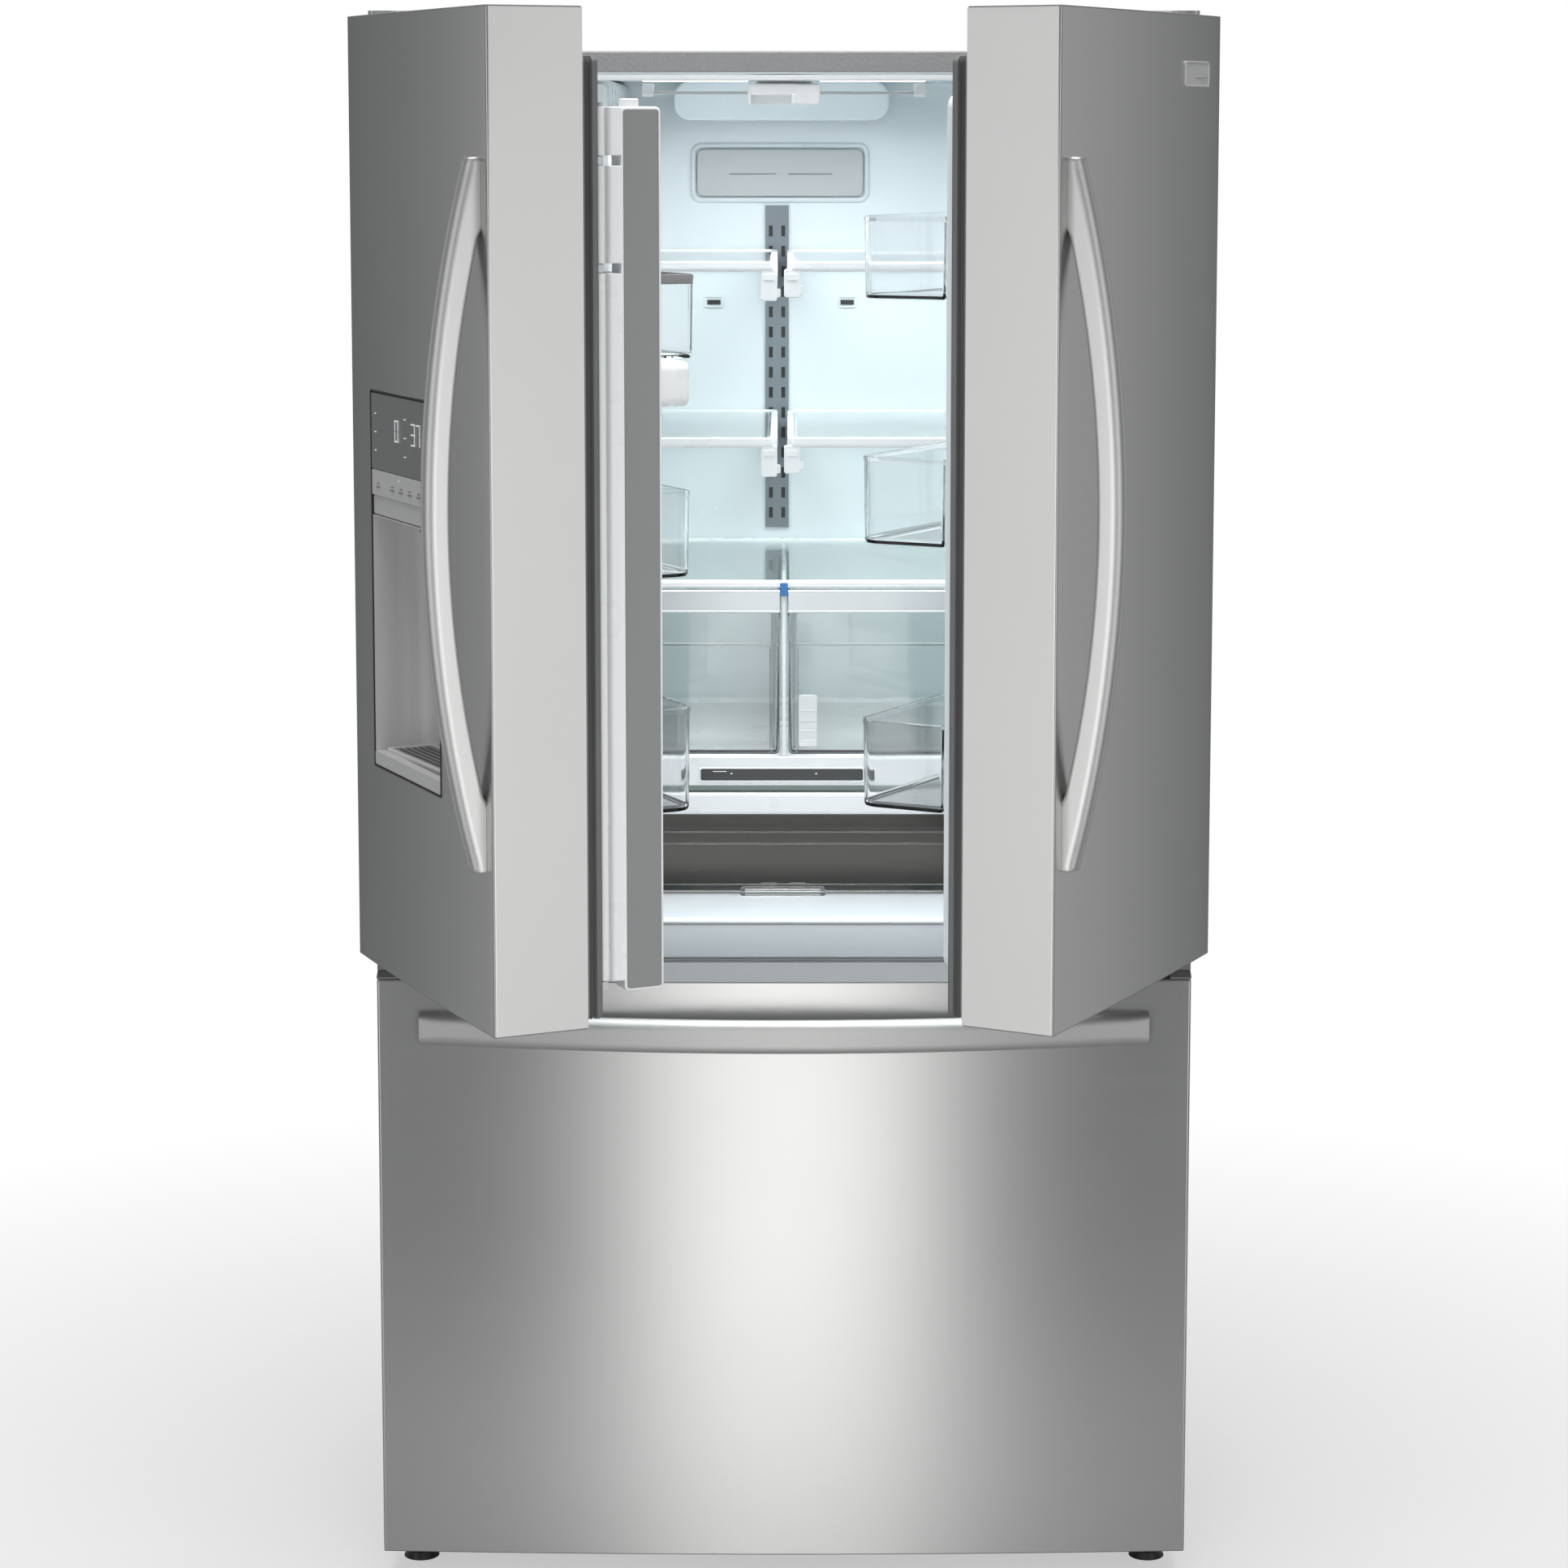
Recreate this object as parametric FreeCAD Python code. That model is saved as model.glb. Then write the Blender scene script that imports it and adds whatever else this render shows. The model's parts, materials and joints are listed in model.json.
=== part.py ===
"""French door refrigerator with a bottom freezer drawer, one STEP file per piece.

Design axes: X runs to the right of somebody facing the doors, Y runs back from the plane of the
closed doors' outer corners, and Z runs up from the floor.  Every piece is written shifted by
-FOOTPRINT_MIDDLE along Y, so that the origin lies on the floor under the middle of the object.
The doors are drawn shut and then turned open about their hinges to the stored pose.
"""
import FreeCAD, Part
import math
import os

from FreeCAD import Vector

# ---------------------------------------------------------------- driving dimensions, mm and degrees
WIDTH = 914.0
DEPTH = 800.0
CABINET_TOP = 1740.0
CABINET_FRONT = 110.0
CABINET_HALF = 454.0
CABINET_BOTTOM = 45.0
SHEET = 1.2
LINER = 3.0

DOOR_WIDTH = 454.0
DOOR_BOTTOM = 731.0
DOOR_TOP = 1775.7
DOOR_BACK = 91.6
BOW = 12.0
SKIN = 1.5
CAP = 2.0
LEFT_OPEN = 64.6
RIGHT_OPEN = 61.8
HINGE_INSET = 10.0
HINGE_BACK = 30.7
HINGE_PIN = 6.0
RUNNING = 0.05

DRAWER_BOTTOM = 40.0
DRAWER_TOP = 706.0

CHAMBER_HALF = 412.0
CHAMBER_BACK = 742.0
FRIDGE_FLOOR = 750.0
FRIDGE_CEILING = 1714.0
FREEZER_FLOOR = 105.0
FREEZER_CEILING = 655.0
FREEZER_STEP = 330.0
FREEZER_STEP_BACK = 560.0
MACHINE_FRONT = 588.0
MACHINE_TOP = 300.0
MACHINE_HALF = 430.0

GASKET_REST = 109.4
GASKET_WIDTH = 20.0
MULLION_PIVOT_IN = 424.0
MULLION_PIVOT_BACK = 122.0
MULLION_FACE = 110.3
BIN_REACH = 238.0
INNER_FRONT = 255.0
SHELF_FRONT = 262.0
ICE_BOX_RIGHT = -200.0
UPPER_SHELF = 1500.0
MIDDLE_SHELF = 1294.0
COVER_TOP = 1126.0
DECK_TOP = 917.0
DECK_BOTTOM = 876.0
SHUTTER_X = 17.0
POCKET_LEFT = 72.0
POCKET_RIGHT = 302.0
POCKET_BOTTOM = 956.0
POCKET_TOP = 1372.0
PADDLE_BACK = 44.0

ROLLER_X = 410.0
ROLLER_Y = 740.0
ROLLER_RADIUS = 20.0
AXLE = 4.0
FOOT_X = 423.0
FOOT_Y = 96.0
FAN_X = -60.0
FAN_Y = 690.0
FAN_Z = 160.0
COLD_FAN_Y = 712.0
COLD_FAN_Z = 590.0
VALVE_X = 325.0
VALVE_Z = 105.0
VALVE_THREAD = 5.56
FOOTPRINT_MIDDLE = 207.4

HALF = WIDTH / 2
PIVOT_X = HALF - HINGE_INSET
BOW_RADIUS = (HALF ** 2 + BOW ** 2) / (2 * BOW)
UP = Vector(0, 0, 1)

parts = {}


# ---------------------------------------------------------------- helpers
def block(x0, x1, y0, y1, z0, z1):
    """Axis-aligned box between two values on each axis."""
    return Part.makeBox(x1 - x0, y1 - y0, z1 - z0, Vector(x0, y0, z0))


def rod(radius, start, end):
    """Round bar between two points."""
    start, end = Vector(*start), Vector(*end)
    return Part.makeCylinder(radius, (end - start).Length, start, end - start)


def fuse(shapes):
    """One solid from touching or overlapping shapes."""
    shapes = list(shapes)
    return shapes[0].multiFuse(shapes[1:]).removeSplitter()


def group(shapes):
    """Several loose solids kept in one piece file."""
    solids = [solid for shape in shapes for solid in shape.Solids]
    return solids[0] if len(solids) == 1 else Part.makeCompound(solids)


def soften(shape, radius, axis):
    """Round the straight edges that run along one axis (0, 1 or 2)."""
    chosen = []
    for edge in shape.Edges:
        if len(edge.Vertexes) != 2 or not isinstance(edge.Curve, Part.Line):
            continue
        run = edge.Vertexes[1].Point - edge.Vertexes[0].Point
        if abs(run[axis]) > 0.999 * run.Length:
            chosen.append(edge)
    return shape.makeFillet(radius, chosen)


def rounded(x0, x1, y0, y1, z0, z1, radius, axis):
    """Box with the four edges along one axis rounded."""
    return soften(block(x0, x1, y0, y1, z0, z1), radius, axis)


def mirrored(shape):
    """Mirror image across the middle plane X = 0."""
    return shape.mirror(Vector(0, 0, 0), Vector(1, 0, 0))


def both_sides(shape):
    return [shape, mirrored(shape)]


def tray(x0, x1, y0, y1, z0, z1, wall, radius=12.0):
    """Open-topped box with rounded upright corners."""
    outer = rounded(x0, x1, y0, y1, z0, z1, radius, 2)
    inner = rounded(x0 + wall, x1 - wall, y0 + wall, y1 - wall, z0 + wall, z1 + 1, radius - wall, 2)
    return outer.cut(inner)


def front_y(x, inset=0.0):
    """Y of the bowed front surface at X, measured inset behind it."""
    radius = BOW_RADIUS - inset
    return BOW_RADIUS - BOW - math.sqrt(radius ** 2 - x ** 2)


def bowed_slab(x0, x1, back, z0, z1, inset=0.0):
    """Upright slab whose front follows the shared bow and whose back is flat."""
    middle = (x0 + x1) / 2
    front = [Vector(x, front_y(x, inset), z0) for x in (x0, middle, x1)]
    outline = Part.Wire([
        Part.Arc(*front).toShape(),
        Part.makeLine(front[2], Vector(x1, back, z0)),
        Part.makeLine(Vector(x1, back, z0), Vector(x0, back, z0)),
        Part.makeLine(Vector(x0, back, z0), front[0]),
    ])
    return Part.Face(outline).extrude(UP * (z1 - z0))


def ring(x0, x1, z0, z1, width, y0, y1):
    """Flat rectangular ring of bar, used for seals and raised rims."""
    outer = rounded(x0, x1, y0, y1, z0, z1, 8, 1)
    return outer.cut(block(x0 + width, x1 - width, y0 - 1, y1 + 1, z0 + width, z1 - width))


def arched_bar(half_length, rise, depth, width, end_depth):
    """Bar along Z that bows out along -Y, its ends tapering down to a base plane at Y = 0."""
    tips = [Vector(0, -end_depth, end * half_length) for end in (-1, 1)]
    outer = Part.Arc(tips[0], Vector(0, -rise, 0), tips[1])
    foot = half_length - 3.2 * depth
    inner = Part.Arc(Vector(0, 0, foot), Vector(0, depth - rise, 0), Vector(0, 0, -foot))
    outline = Part.Wire([
        outer.toShape(),
        Part.makeLine(tips[1], Vector(0, 0, half_length)),
        Part.makeLine(Vector(0, 0, half_length), Vector(0, 0, foot)),
        inner.toShape(),
        Part.makeLine(Vector(0, 0, -foot), Vector(0, 0, -half_length)),
        Part.makeLine(Vector(0, 0, -half_length), tips[0]),
    ])
    return Part.Face(outline).extrude(Vector(width, 0, 0)).translated(Vector(-width / 2, 0, 0))


def turned(shape, x, y, angle):
    """Copy turned about an upright axis through (x, y)."""
    copy = shape.copy()
    copy.rotate(Vector(x, y, 0), UP, angle)
    return copy


def left_open(shape):
    """Left door piece, from shut to the stored pose."""
    return turned(shape, -PIVOT_X, HINGE_BACK, -LEFT_OPEN)


def right_open(shape):
    """Right door piece drawn as a left one: mirrored, then turned to the stored pose."""
    return turned(mirrored(shape), PIVOT_X, HINGE_BACK, RIGHT_OPEN)


def door_x(inboard):
    """X of a point on the shut left door, from its distance to the hinge side."""
    return inboard - HALF


# ---------------------------------------------------------------- cabinet shell and liners
def cabinet_shell():
    """Folded steel wrap, insulation, rear panels and the rail between the compartments."""
    outer = block(-CABINET_HALF, CABINET_HALF, CABINET_FRONT, DEPTH - SHEET, CABINET_BOTTOM, CABINET_TOP)
    inside_half = CABINET_HALF - SHEET
    hollow = block(-inside_half, inside_half, CABINET_FRONT + SHEET, DEPTH, 0, CABINET_TOP - SHEET)
    mouth_half = CHAMBER_HALF + LINER
    mouth = block(-mouth_half, mouth_half, 0, DEPTH, 0, FRIDGE_CEILING + LINER)
    parts["outer_cabinet"] = outer.cut(hollow).cut(mouth)

    foam = block(-inside_half, inside_half, CABINET_FRONT + SHEET, DEPTH - 2 * SHEET,
                 CABINET_BOTTOM, CABINET_TOP - SHEET)
    fridge_space = block(-mouth_half, mouth_half, 0, CHAMBER_BACK + LINER,
                         FRIDGE_FLOOR - LINER, FRIDGE_CEILING + LINER)
    sill_space = block(-mouth_half, mouth_half, 0, CABINET_FRONT + LINER, DRAWER_TOP, FRIDGE_FLOOR)
    rail_space = block(-mouth_half, mouth_half, 0, CABINET_FRONT + 40,
                       FREEZER_CEILING + LINER, DRAWER_TOP)
    machine = block(-MACHINE_HALF, MACHINE_HALF, MACHINE_FRONT, DEPTH, 0, MACHINE_TOP)
    spaces = [fridge_space, sill_space, rail_space, freezer_envelope(LINER), machine]
    parts["cabinet_insulation"] = foam.cut(spaces)

    rail_bottom = FREEZER_CEILING + LINER
    rail = block(-mouth_half, mouth_half, CABINET_FRONT, CABINET_FRONT + 40, rail_bottom, DRAWER_TOP)
    channel = block(-mouth_half, mouth_half, CABINET_FRONT + 2, CABINET_FRONT + 41,
                    rail_bottom + 2, DRAWER_TOP - 2)
    parts["centre_rail"] = rail.cut(channel)

    upper = block(-inside_half, inside_half, DEPTH - 2 * SHEET, DEPTH - SHEET,
                  MACHINE_TOP, CABINET_TOP - SHEET)
    cover_half = MACHINE_HALF + 12
    cover = rounded(-cover_half, cover_half, DEPTH - SHEET, DEPTH + 1, 48, MACHINE_TOP + 12, 8, 1)
    slots = []
    for row in range(5):
        for column in range(12):
            x = -360 + 60 * column
            z = 95 + 34 * row
            slots.append(block(x, x + 42, DEPTH - 5, DEPTH + 5, z, z + 7))
    keep = block(250, 400, DEPTH - 6, DEPTH + 6, 60, 150)
    keep = keep.fuse(block(-420, -350, DEPTH - 6, DEPTH + 6, 60, 150))
    cover = cover.cut([slot for slot in slots if slot.common(keep).Volume == 0])
    cover = cover.cut(rod(12, (VALVE_X, DEPTH - 9, VALVE_Z), (VALVE_X, DEPTH + 9, VALVE_Z)))
    gland = rod(11, (-385, DEPTH - SHEET, 110), (-385, DEPTH + 7, 110))
    gland = gland.cut(rod(5, (-385, DEPTH - 9, 110), (-385, DEPTH + 9, 110)))
    cover = cover.cut(rod(5, (-385, DEPTH - 9, 110), (-385, DEPTH + 9, 110))).fuse(gland)
    parts["rear_panels"] = group([upper, cover])


def freezer_envelope(grow):
    """The freezer's stepped space, grown on every side but the mouth."""
    half = CHAMBER_HALF + grow
    tall = block(-half, half, 0, CHAMBER_BACK + grow, FREEZER_STEP - grow, FREEZER_CEILING + grow)
    low = block(-half, half, 0, FREEZER_STEP_BACK + grow, FREEZER_FLOOR - grow, FREEZER_CEILING + grow)
    return tall.fuse(low).removeSplitter()


def liners():
    """Moulded plastic tubs of the two compartments."""
    half = CHAMBER_HALF
    outer = block(-half - LINER, half + LINER, CABINET_FRONT, CHAMBER_BACK + LINER,
                  FRIDGE_FLOOR - LINER, FRIDGE_CEILING + LINER)
    sill = block(-half - LINER, half + LINER, CABINET_FRONT, CABINET_FRONT + LINER, DRAWER_TOP, FRIDGE_FLOOR)
    hollow = rounded(-half, half, CABINET_FRONT - 60, CHAMBER_BACK, FRIDGE_FLOOR, FRIDGE_CEILING, 14, 1)
    tub = outer.fuse(sill).cut(hollow)
    lips = []
    for level in (1140, 1310, 1480):
        lips += both_sides(block(half - 2, half, 300, 700, level, level + 5))
    housing = rounded(-137, 131, 600, CHAMBER_BACK, 1664, FRIDGE_CEILING, 20, 1)
    parts["fridge_liner"] = fuse([tub, housing] + lips)

    mouth = block(-half - 20, half + 20, 0, CABINET_FRONT, 0, FREEZER_CEILING + 20)
    parts["freezer_liner"] = freezer_envelope(LINER).cut(freezer_envelope(0)).cut(mouth)


# ---------------------------------------------------------------- hinges, base and feet
def hinges():
    """Upper and centre hinge brackets with their pins, and the covers over them."""
    x, y = PIVOT_X, HINGE_BACK
    foot = block(385, 450, 112, 220, CABINET_TOP, CABINET_TOP + 4)
    riser = block(425, 450, 112, 117, CABINET_TOP, DOOR_TOP + 6)
    arm = rounded(425, 455, y - 15, 108, DOOR_TOP + 2, DOOR_TOP + 6, 6, 2)
    arm = arm.fuse(block(425, 450, 95, 117, DOOR_TOP + 2, DOOR_TOP + 6))
    pin = rod(HINGE_PIN, (x, y, DOOR_TOP - 26), (x, y, DOOR_TOP + 4))
    screws = [rod(6, (405, sy, CABINET_TOP + 4), (405, sy, CABINET_TOP + 8)) for sy in (140, 165, 190)]
    upper = fuse([foot, riser, arm, pin] + screws)

    plate = rounded(390, 455, y - 15, 106, 716, 721, 6, 2)
    flange = block(390, 452, 106, CABINET_FRONT, 694, 721)
    stub = rod(HINGE_PIN, (x, y, 720), (x, y, DOOR_BOTTOM + 25))
    washer = rod(9.5, (x, y, 721), (x, y, DOOR_BOTTOM - 0.5))
    centre = fuse([plate, flange, stub, washer])
    parts["door_hinges"] = group(both_sides(upper) + both_sides(centre))

    cover = rounded(378, 453.5, 109, 240, CABINET_TOP, DOOR_TOP + 9, 9, 2)
    room = block(381, 460, 100, 237, CABINET_TOP - 1, DOOR_TOP + 6.5)
    cover = cover.cut(room).fuse(block(451, 453.5, 125, 232, CABINET_TOP, DOOR_TOP + 9))
    wedge = Part.Face(Part.makePolygon([
        Vector(433, -2, 707), Vector(433, 60, 707), Vector(433, 60, 715.5),
        Vector(433, 12, 715.5), Vector(433, -2, 709), Vector(433, -2, 707),
    ])).extrude(Vector(24, 0, 0))
    tip = block(433, 457, 8, 13, 715, 724)
    wedge = wedge.fuse(tip)
    parts["hinge_covers"] = group(both_sides(cover) + both_sides(wedge))


def base():
    """Rails, machine shelf, levelling legs and the rear rollers on their axles."""
    rail = block(400, 446, 112, 715, 30, CABINET_BOTTOM)
    nose = block(402, 444, 74, 112, 26, 37)
    cheeks = [block(x, x + 3, 712, 768, 14, CABINET_BOTTOM) for x in (ROLLER_X - 17, ROLLER_X + 14)]
    top = block(ROLLER_X - 17, ROLLER_X + 17, 712, 768, CABINET_BOTTOM - 3, CABINET_BOTTOM)
    axle = rod(AXLE, (ROLLER_X - 17, ROLLER_Y, ROLLER_RADIUS), (ROLLER_X + 17, ROLLER_Y, ROLLER_RADIUS))
    side = fuse([rail, nose, top, axle] + cheeks)
    side = side.cut(rod(5.2, (FOOT_X, FOOT_Y, 0), (FOOT_X, FOOT_Y, 60)))
    front = block(-401, 401, 114, 150, 30, CABINET_BOTTOM)
    shelf = block(-MACHINE_HALF, MACHINE_HALF, MACHINE_FRONT, 794, CABINET_BOTTOM, CABINET_BOTTOM + 3)
    parts["base_frame"] = fuse(both_sides(side) + [front, shelf])

    stud = rod(5, (FOOT_X, FOOT_Y, 6), (FOOT_X, FOOT_Y, 38.5))
    disc = Part.makeCone(20.5, 17, 8, Vector(FOOT_X, FOOT_Y, 0))
    nut = Part.Face(Part.makePolygon([
        Vector(FOOT_X + 10 * math.cos(math.radians(60 * k)), FOOT_Y + 10 * math.sin(math.radians(60 * k)), 8)
        for k in range(7)
    ])).extrude(UP * 10)
    parts["levelling_feet"] = group(both_sides(fuse([disc, nut, stud])))

    for side_name, sign in (("left", -1), ("right", 1)):
        centre = (sign * ROLLER_X, ROLLER_Y, ROLLER_RADIUS)
        ends = [(centre[0] + offset, centre[1], centre[2]) for offset in (-13, 13)]
        wheel = rod(ROLLER_RADIUS, *ends)
        belt = [(centre[0] + offset, centre[1], centre[2]) for offset in (-3, 3)]
        groove = rod(ROLLER_RADIUS + 1, *belt).cut(rod(ROLLER_RADIUS - 3, *ends))
        parts["rear_roller_" + side_name] = wheel.cut(groove).cut(rod(AXLE + RUNNING, *ends))


# ---------------------------------------------------------------- cooling machinery
def serpentine(x0, x1, y, levels, radius):
    """Tube that runs to and fro across X, joined by half-round bends."""
    pieces = []
    for index, z in enumerate(levels):
        pieces.append(rod(radius, (x0, y, z), (x1, y, z)))
        if index + 1 < len(levels):
            pitch = levels[index + 1] - z
            x = x1 if index % 2 == 0 else x0
            bend = Part.makeTorus(pitch / 2, radius, Vector(x, y, z + pitch / 2), Vector(0, 1, 0))
            reach = pitch / 2 + radius + 1
            side = (x, x + reach) if index % 2 == 0 else (x - reach, x)
            half_space = block(*side, y - reach, y + reach, z - radius, z + pitch + radius)
            pieces.append(bend.common(half_space))
    return pieces


def impeller(centre, axis, radius, hub_radius, depth, bore):
    """Axial fan: a hub with five pitched blades, drawn along Z and then laid onto its axis."""
    hub = Part.makeCylinder(hub_radius, depth)
    blades = []
    for k in range(5):
        root = Vector(hub_radius - 3, -depth * 0.75, -1)
        blade = Part.makeBox(radius - hub_radius + 3, depth * 1.5, 2.0, root)
        blade.rotate(Vector(0, 0, 0), Vector(1, 0, 0), 32)
        blade.translate(Vector(0, 0, depth / 2))
        blade.rotate(Vector(0, 0, 0), UP, 72 * k)
        blades.append(blade)
    rim = Part.makeCylinder(radius, 4 * depth, Vector(0, 0, -2 * depth))
    fan = fuse([hub] + [blade.common(rim) for blade in blades])
    fan = fan.cut(Part.makeCylinder(bore, depth + 20, Vector(0, 0, -10)))
    fan.Placement = FreeCAD.Placement(Vector(*centre), FreeCAD.Rotation(UP, Vector(*axis)))
    return fan


def cooling():
    """Compressor, condenser, fans, evaporator, drain pan and water valve."""
    body = Part.makeCylinder(72, 80, Vector(-270, 690, 84))
    dome = Part.makeSphere(72, Vector(-270, 690, 164)).common(block(-350, -190, 610, 770, 164, 240))
    bowl = Part.makeSphere(72, Vector(-270, 690, 84)).common(block(-350, -190, 610, 770, 62, 84))
    legs = block(-365, -175, 625, 755, 58, 62)
    grommets = [rod(10, (gx, gy, 48), (gx, gy, 58)) for gx in (-355, -185) for gy in (637, 743)]
    stubs = [rod(5, (-270, 690 + dy, 150), (-185, 690 + dy, 150)) for dy in (-20, 0, 20)]
    parts["compressor"] = fuse([body, dome, bowl, legs] + grommets + stubs)

    levels = [70 + 24 * k for k in range(6)]
    coil = serpentine(60, 230, 660, levels, 4) + serpentine(60, 230, 710, levels, 4)
    fins = [block(70 + 15 * k, 71.2 + 15 * k, 640, 730, 58, 202) for k in range(11)]
    feet = [block(70, 222, 640, 644, 48, 60), block(70, 222, 726, 730, 48, 60)]
    parts["condenser_coil"] = fuse(coil + fins + feet)

    ring_plate = block(FAN_X - 3, FAN_X + 3, FAN_Y - 78, FAN_Y + 78, 48, FAN_Z + 74)
    ring_plate = ring_plate.cut(rod(68, (FAN_X - 9, FAN_Y, FAN_Z), (FAN_X + 9, FAN_Y, FAN_Z)))
    motor = rod(24, (FAN_X - 56, FAN_Y, FAN_Z), (FAN_X - 22, FAN_Y, FAN_Z))
    shaft = rod(2.5, (FAN_X - 30, FAN_Y, FAN_Z), (FAN_X + 12, FAN_Y, FAN_Z))
    stays = [block(FAN_X - 50, FAN_X, FAN_Y - 76, FAN_Y + 76, FAN_Z - 4, FAN_Z + 4),
             block(FAN_X - 50, FAN_X, FAN_Y - 4, FAN_Y + 4, FAN_Z - 76, FAN_Z + 73)]
    sweep = rod(66, (FAN_X - 20, FAN_Y, FAN_Z), (FAN_X + 20, FAN_Y, FAN_Z))
    draught = rod(60, (FAN_X - 40, FAN_Y, FAN_Z), (FAN_X + 9, FAN_Y, FAN_Z))
    stays = [stay.cut([sweep, draught]) for stay in stays]
    parts["condenser_fan_motor"] = fuse([ring_plate, motor, shaft] + stays)
    parts["condenser_fan"] = impeller((FAN_X - 9, FAN_Y, FAN_Z), (1, 0, 0), 62, 18, 18, 2.5 + RUNNING)

    parts["drain_pan"] = tray(60, 400, 615, 770, 235, 262, 2.5)

    levels = [350 + 26 * k for k in range(7)]
    coil = serpentine(-240, 240, 722, levels, 4)
    fins = [block(-235 + 26 * k, -234 + 26 * k, 708, 736, 342, 514) for k in range(19)]
    parts["evaporator_coil"] = fuse(coil + fins)

    panel = block(-409, 409, 686, 690, 333, 652)
    mouth = rod(50, (0, 680, COLD_FAN_Z), (0, 695, COLD_FAN_Z))
    vents = [block(-350 + 60 * k, -310 + 60 * k, 680, 695, 350, 356) for k in range(12)]
    panel = panel.cut([mouth] + vents)
    bars = [block(-50, 50, 686, 688, COLD_FAN_Z + dz, COLD_FAN_Z + dz + 3) for dz in (-32, -12, 9, 29)]
    motor = rod(20, (0, COLD_FAN_Y + 10, COLD_FAN_Z), (0, 738, COLD_FAN_Z))
    shaft = rod(2.5, (0, 696, COLD_FAN_Z), (0, 730, COLD_FAN_Z))
    posts = [block(-60, 60, 728, 736, COLD_FAN_Z - 4, COLD_FAN_Z + 4)]
    posts += both_sides(block(56, 62, 689, 736, COLD_FAN_Z - 4, COLD_FAN_Z + 4))
    parts["evaporator_cover"] = fuse([panel] + bars + [motor, shaft] + posts)
    parts["evaporator_fan"] = impeller((0, COLD_FAN_Y, COLD_FAN_Z), (0, -1, 0), 46, 14, 12, 2.5 + RUNNING)

    body = rounded(VALVE_X - 25, VALVE_X + 25, 748, 790, VALVE_Z - 22, VALVE_Z + 22, 5, 1)
    coils = [rod(12, (VALVE_X - 14 + 28 * k, 768, VALVE_Z + 20), (VALVE_X - 14 + 28 * k, 768, VALVE_Z + 58))
             for k in (0, 1)]
    thread = rod(VALVE_THREAD, (VALVE_X, 788, VALVE_Z), (VALVE_X, DEPTH + 16, VALVE_Z))
    thread = thread.cut(rod(3, (VALVE_X, 795, VALVE_Z), (VALVE_X, DEPTH + 20, VALVE_Z)))
    post = block(VALVE_X - 20, VALVE_X + 20, 755, 785, 48, VALVE_Z - 20)
    parts["water_inlet_valve"] = fuse([body, thread, post] + coils)


# ---------------------------------------------------------------- fresh food compartment
def shelf_layout():
    """Left edge, right edge and top of each half-width shelf."""
    return [
        (ICE_BOX_RIGHT + 8, -8, UPPER_SHELF), (4, 406, UPPER_SHELF),
        (-406, -8, MIDDLE_SHELF), (4, 406, MIDDLE_SHELF),
    ]


def shelves():
    """Ladders on the rear wall, and half-width glass shelves in frames with cantilever arms."""
    ladders = []
    for x in (-9, -398, 398):
        centre = x == -9
        half = 15 if centre else 9
        top = 1556 if centre else 1600
        strip = block(x - half, x + half, CHAMBER_BACK - 4, CHAMBER_BACK, 1140, top)
        slots = []
        for column in ((x - 8, x + 8) if centre else (x,)):
            for z in range(1152, top - 20, 26):
                slots.append(block(column - 2.5, column + 2.5, CHAMBER_BACK - 5, CHAMBER_BACK - 2, z, z + 14))
        strip = strip.cut(slots)
        ladders.append(strip if x != -398 else strip.cut(block(-420, -380, 700, 760, 1396, 1700)))
    parts["shelf_ladders"] = group(ladders)

    frames, panes = [], []
    for x0, x1, top in shelf_layout():
        rim = rounded(x0, x1, SHELF_FRONT, 726, top - 12, top, 10, 2)
        rim = rim.cut(block(x0 + 12, x1 - 12, SHELF_FRONT + 14, 714, top - 20, top + 1))
        rim = rim.cut(block(x0 + 8, x1 - 8, SHELF_FRONT + 9, 719, top - 6, top + 1))
        arms = []
        for x in (x0, x1 - 4):
            arm = Part.Face(Part.makePolygon([
                Vector(x, SHELF_FRONT + 60, top - 11), Vector(x, 736.8, top - 11), Vector(x, 736.8, top - 48),
                Vector(x, 700, top - 40), Vector(x, SHELF_FRONT + 60, top - 18),
                Vector(x, SHELF_FRONT + 60, top - 11),
            ])).extrude(Vector(4, 0, 0))
            arms.append(arm)
        inner, drop = (x1 - 19, 46) if x1 < 0 else (x0 - 4, 26)
        hanger = block(inner, inner + 19, SHELF_FRONT + 1, SHELF_FRONT + 14, top - drop, top - 8)
        frames.append(fuse([rim, hanger] + arms))
        panes.append(rounded(x0 + 8.5, x1 - 8.5, SHELF_FRONT + 9.5, 718.5, top - 6, top - 1.5, 4, 2))
    cover_pane = rounded(-398, 398, INNER_FRONT + 14, 722, COVER_TOP - 6, COVER_TOP - 1.5, 4, 2)
    parts["shelf_frames"] = group(frames)
    parts["shelf_glass"] = group(panes + [cover_pane])

    rim = block(-408, 408, INNER_FRONT + 2, 736, COVER_TOP - 9, COVER_TOP)
    rim = rim.cut(block(-390, 390, INNER_FRONT + 22, 714, COVER_TOP - 20, COVER_TOP + 1))
    rim = rim.cut(block(-398.5, 398.5, INNER_FRONT + 13.5, 722.5, COVER_TOP - 6, COVER_TOP + 1))
    rib = block(-2.5, 2.5, INNER_FRONT + 4, 730, DECK_TOP, COVER_TOP - 6.5)
    walls = both_sides(block(404.5, 408, INNER_FRONT + 4, 736, DECK_TOP, COVER_TOP - 6.5))
    parts["crisper_cover"] = fuse([rim, rib] + walls)


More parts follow.
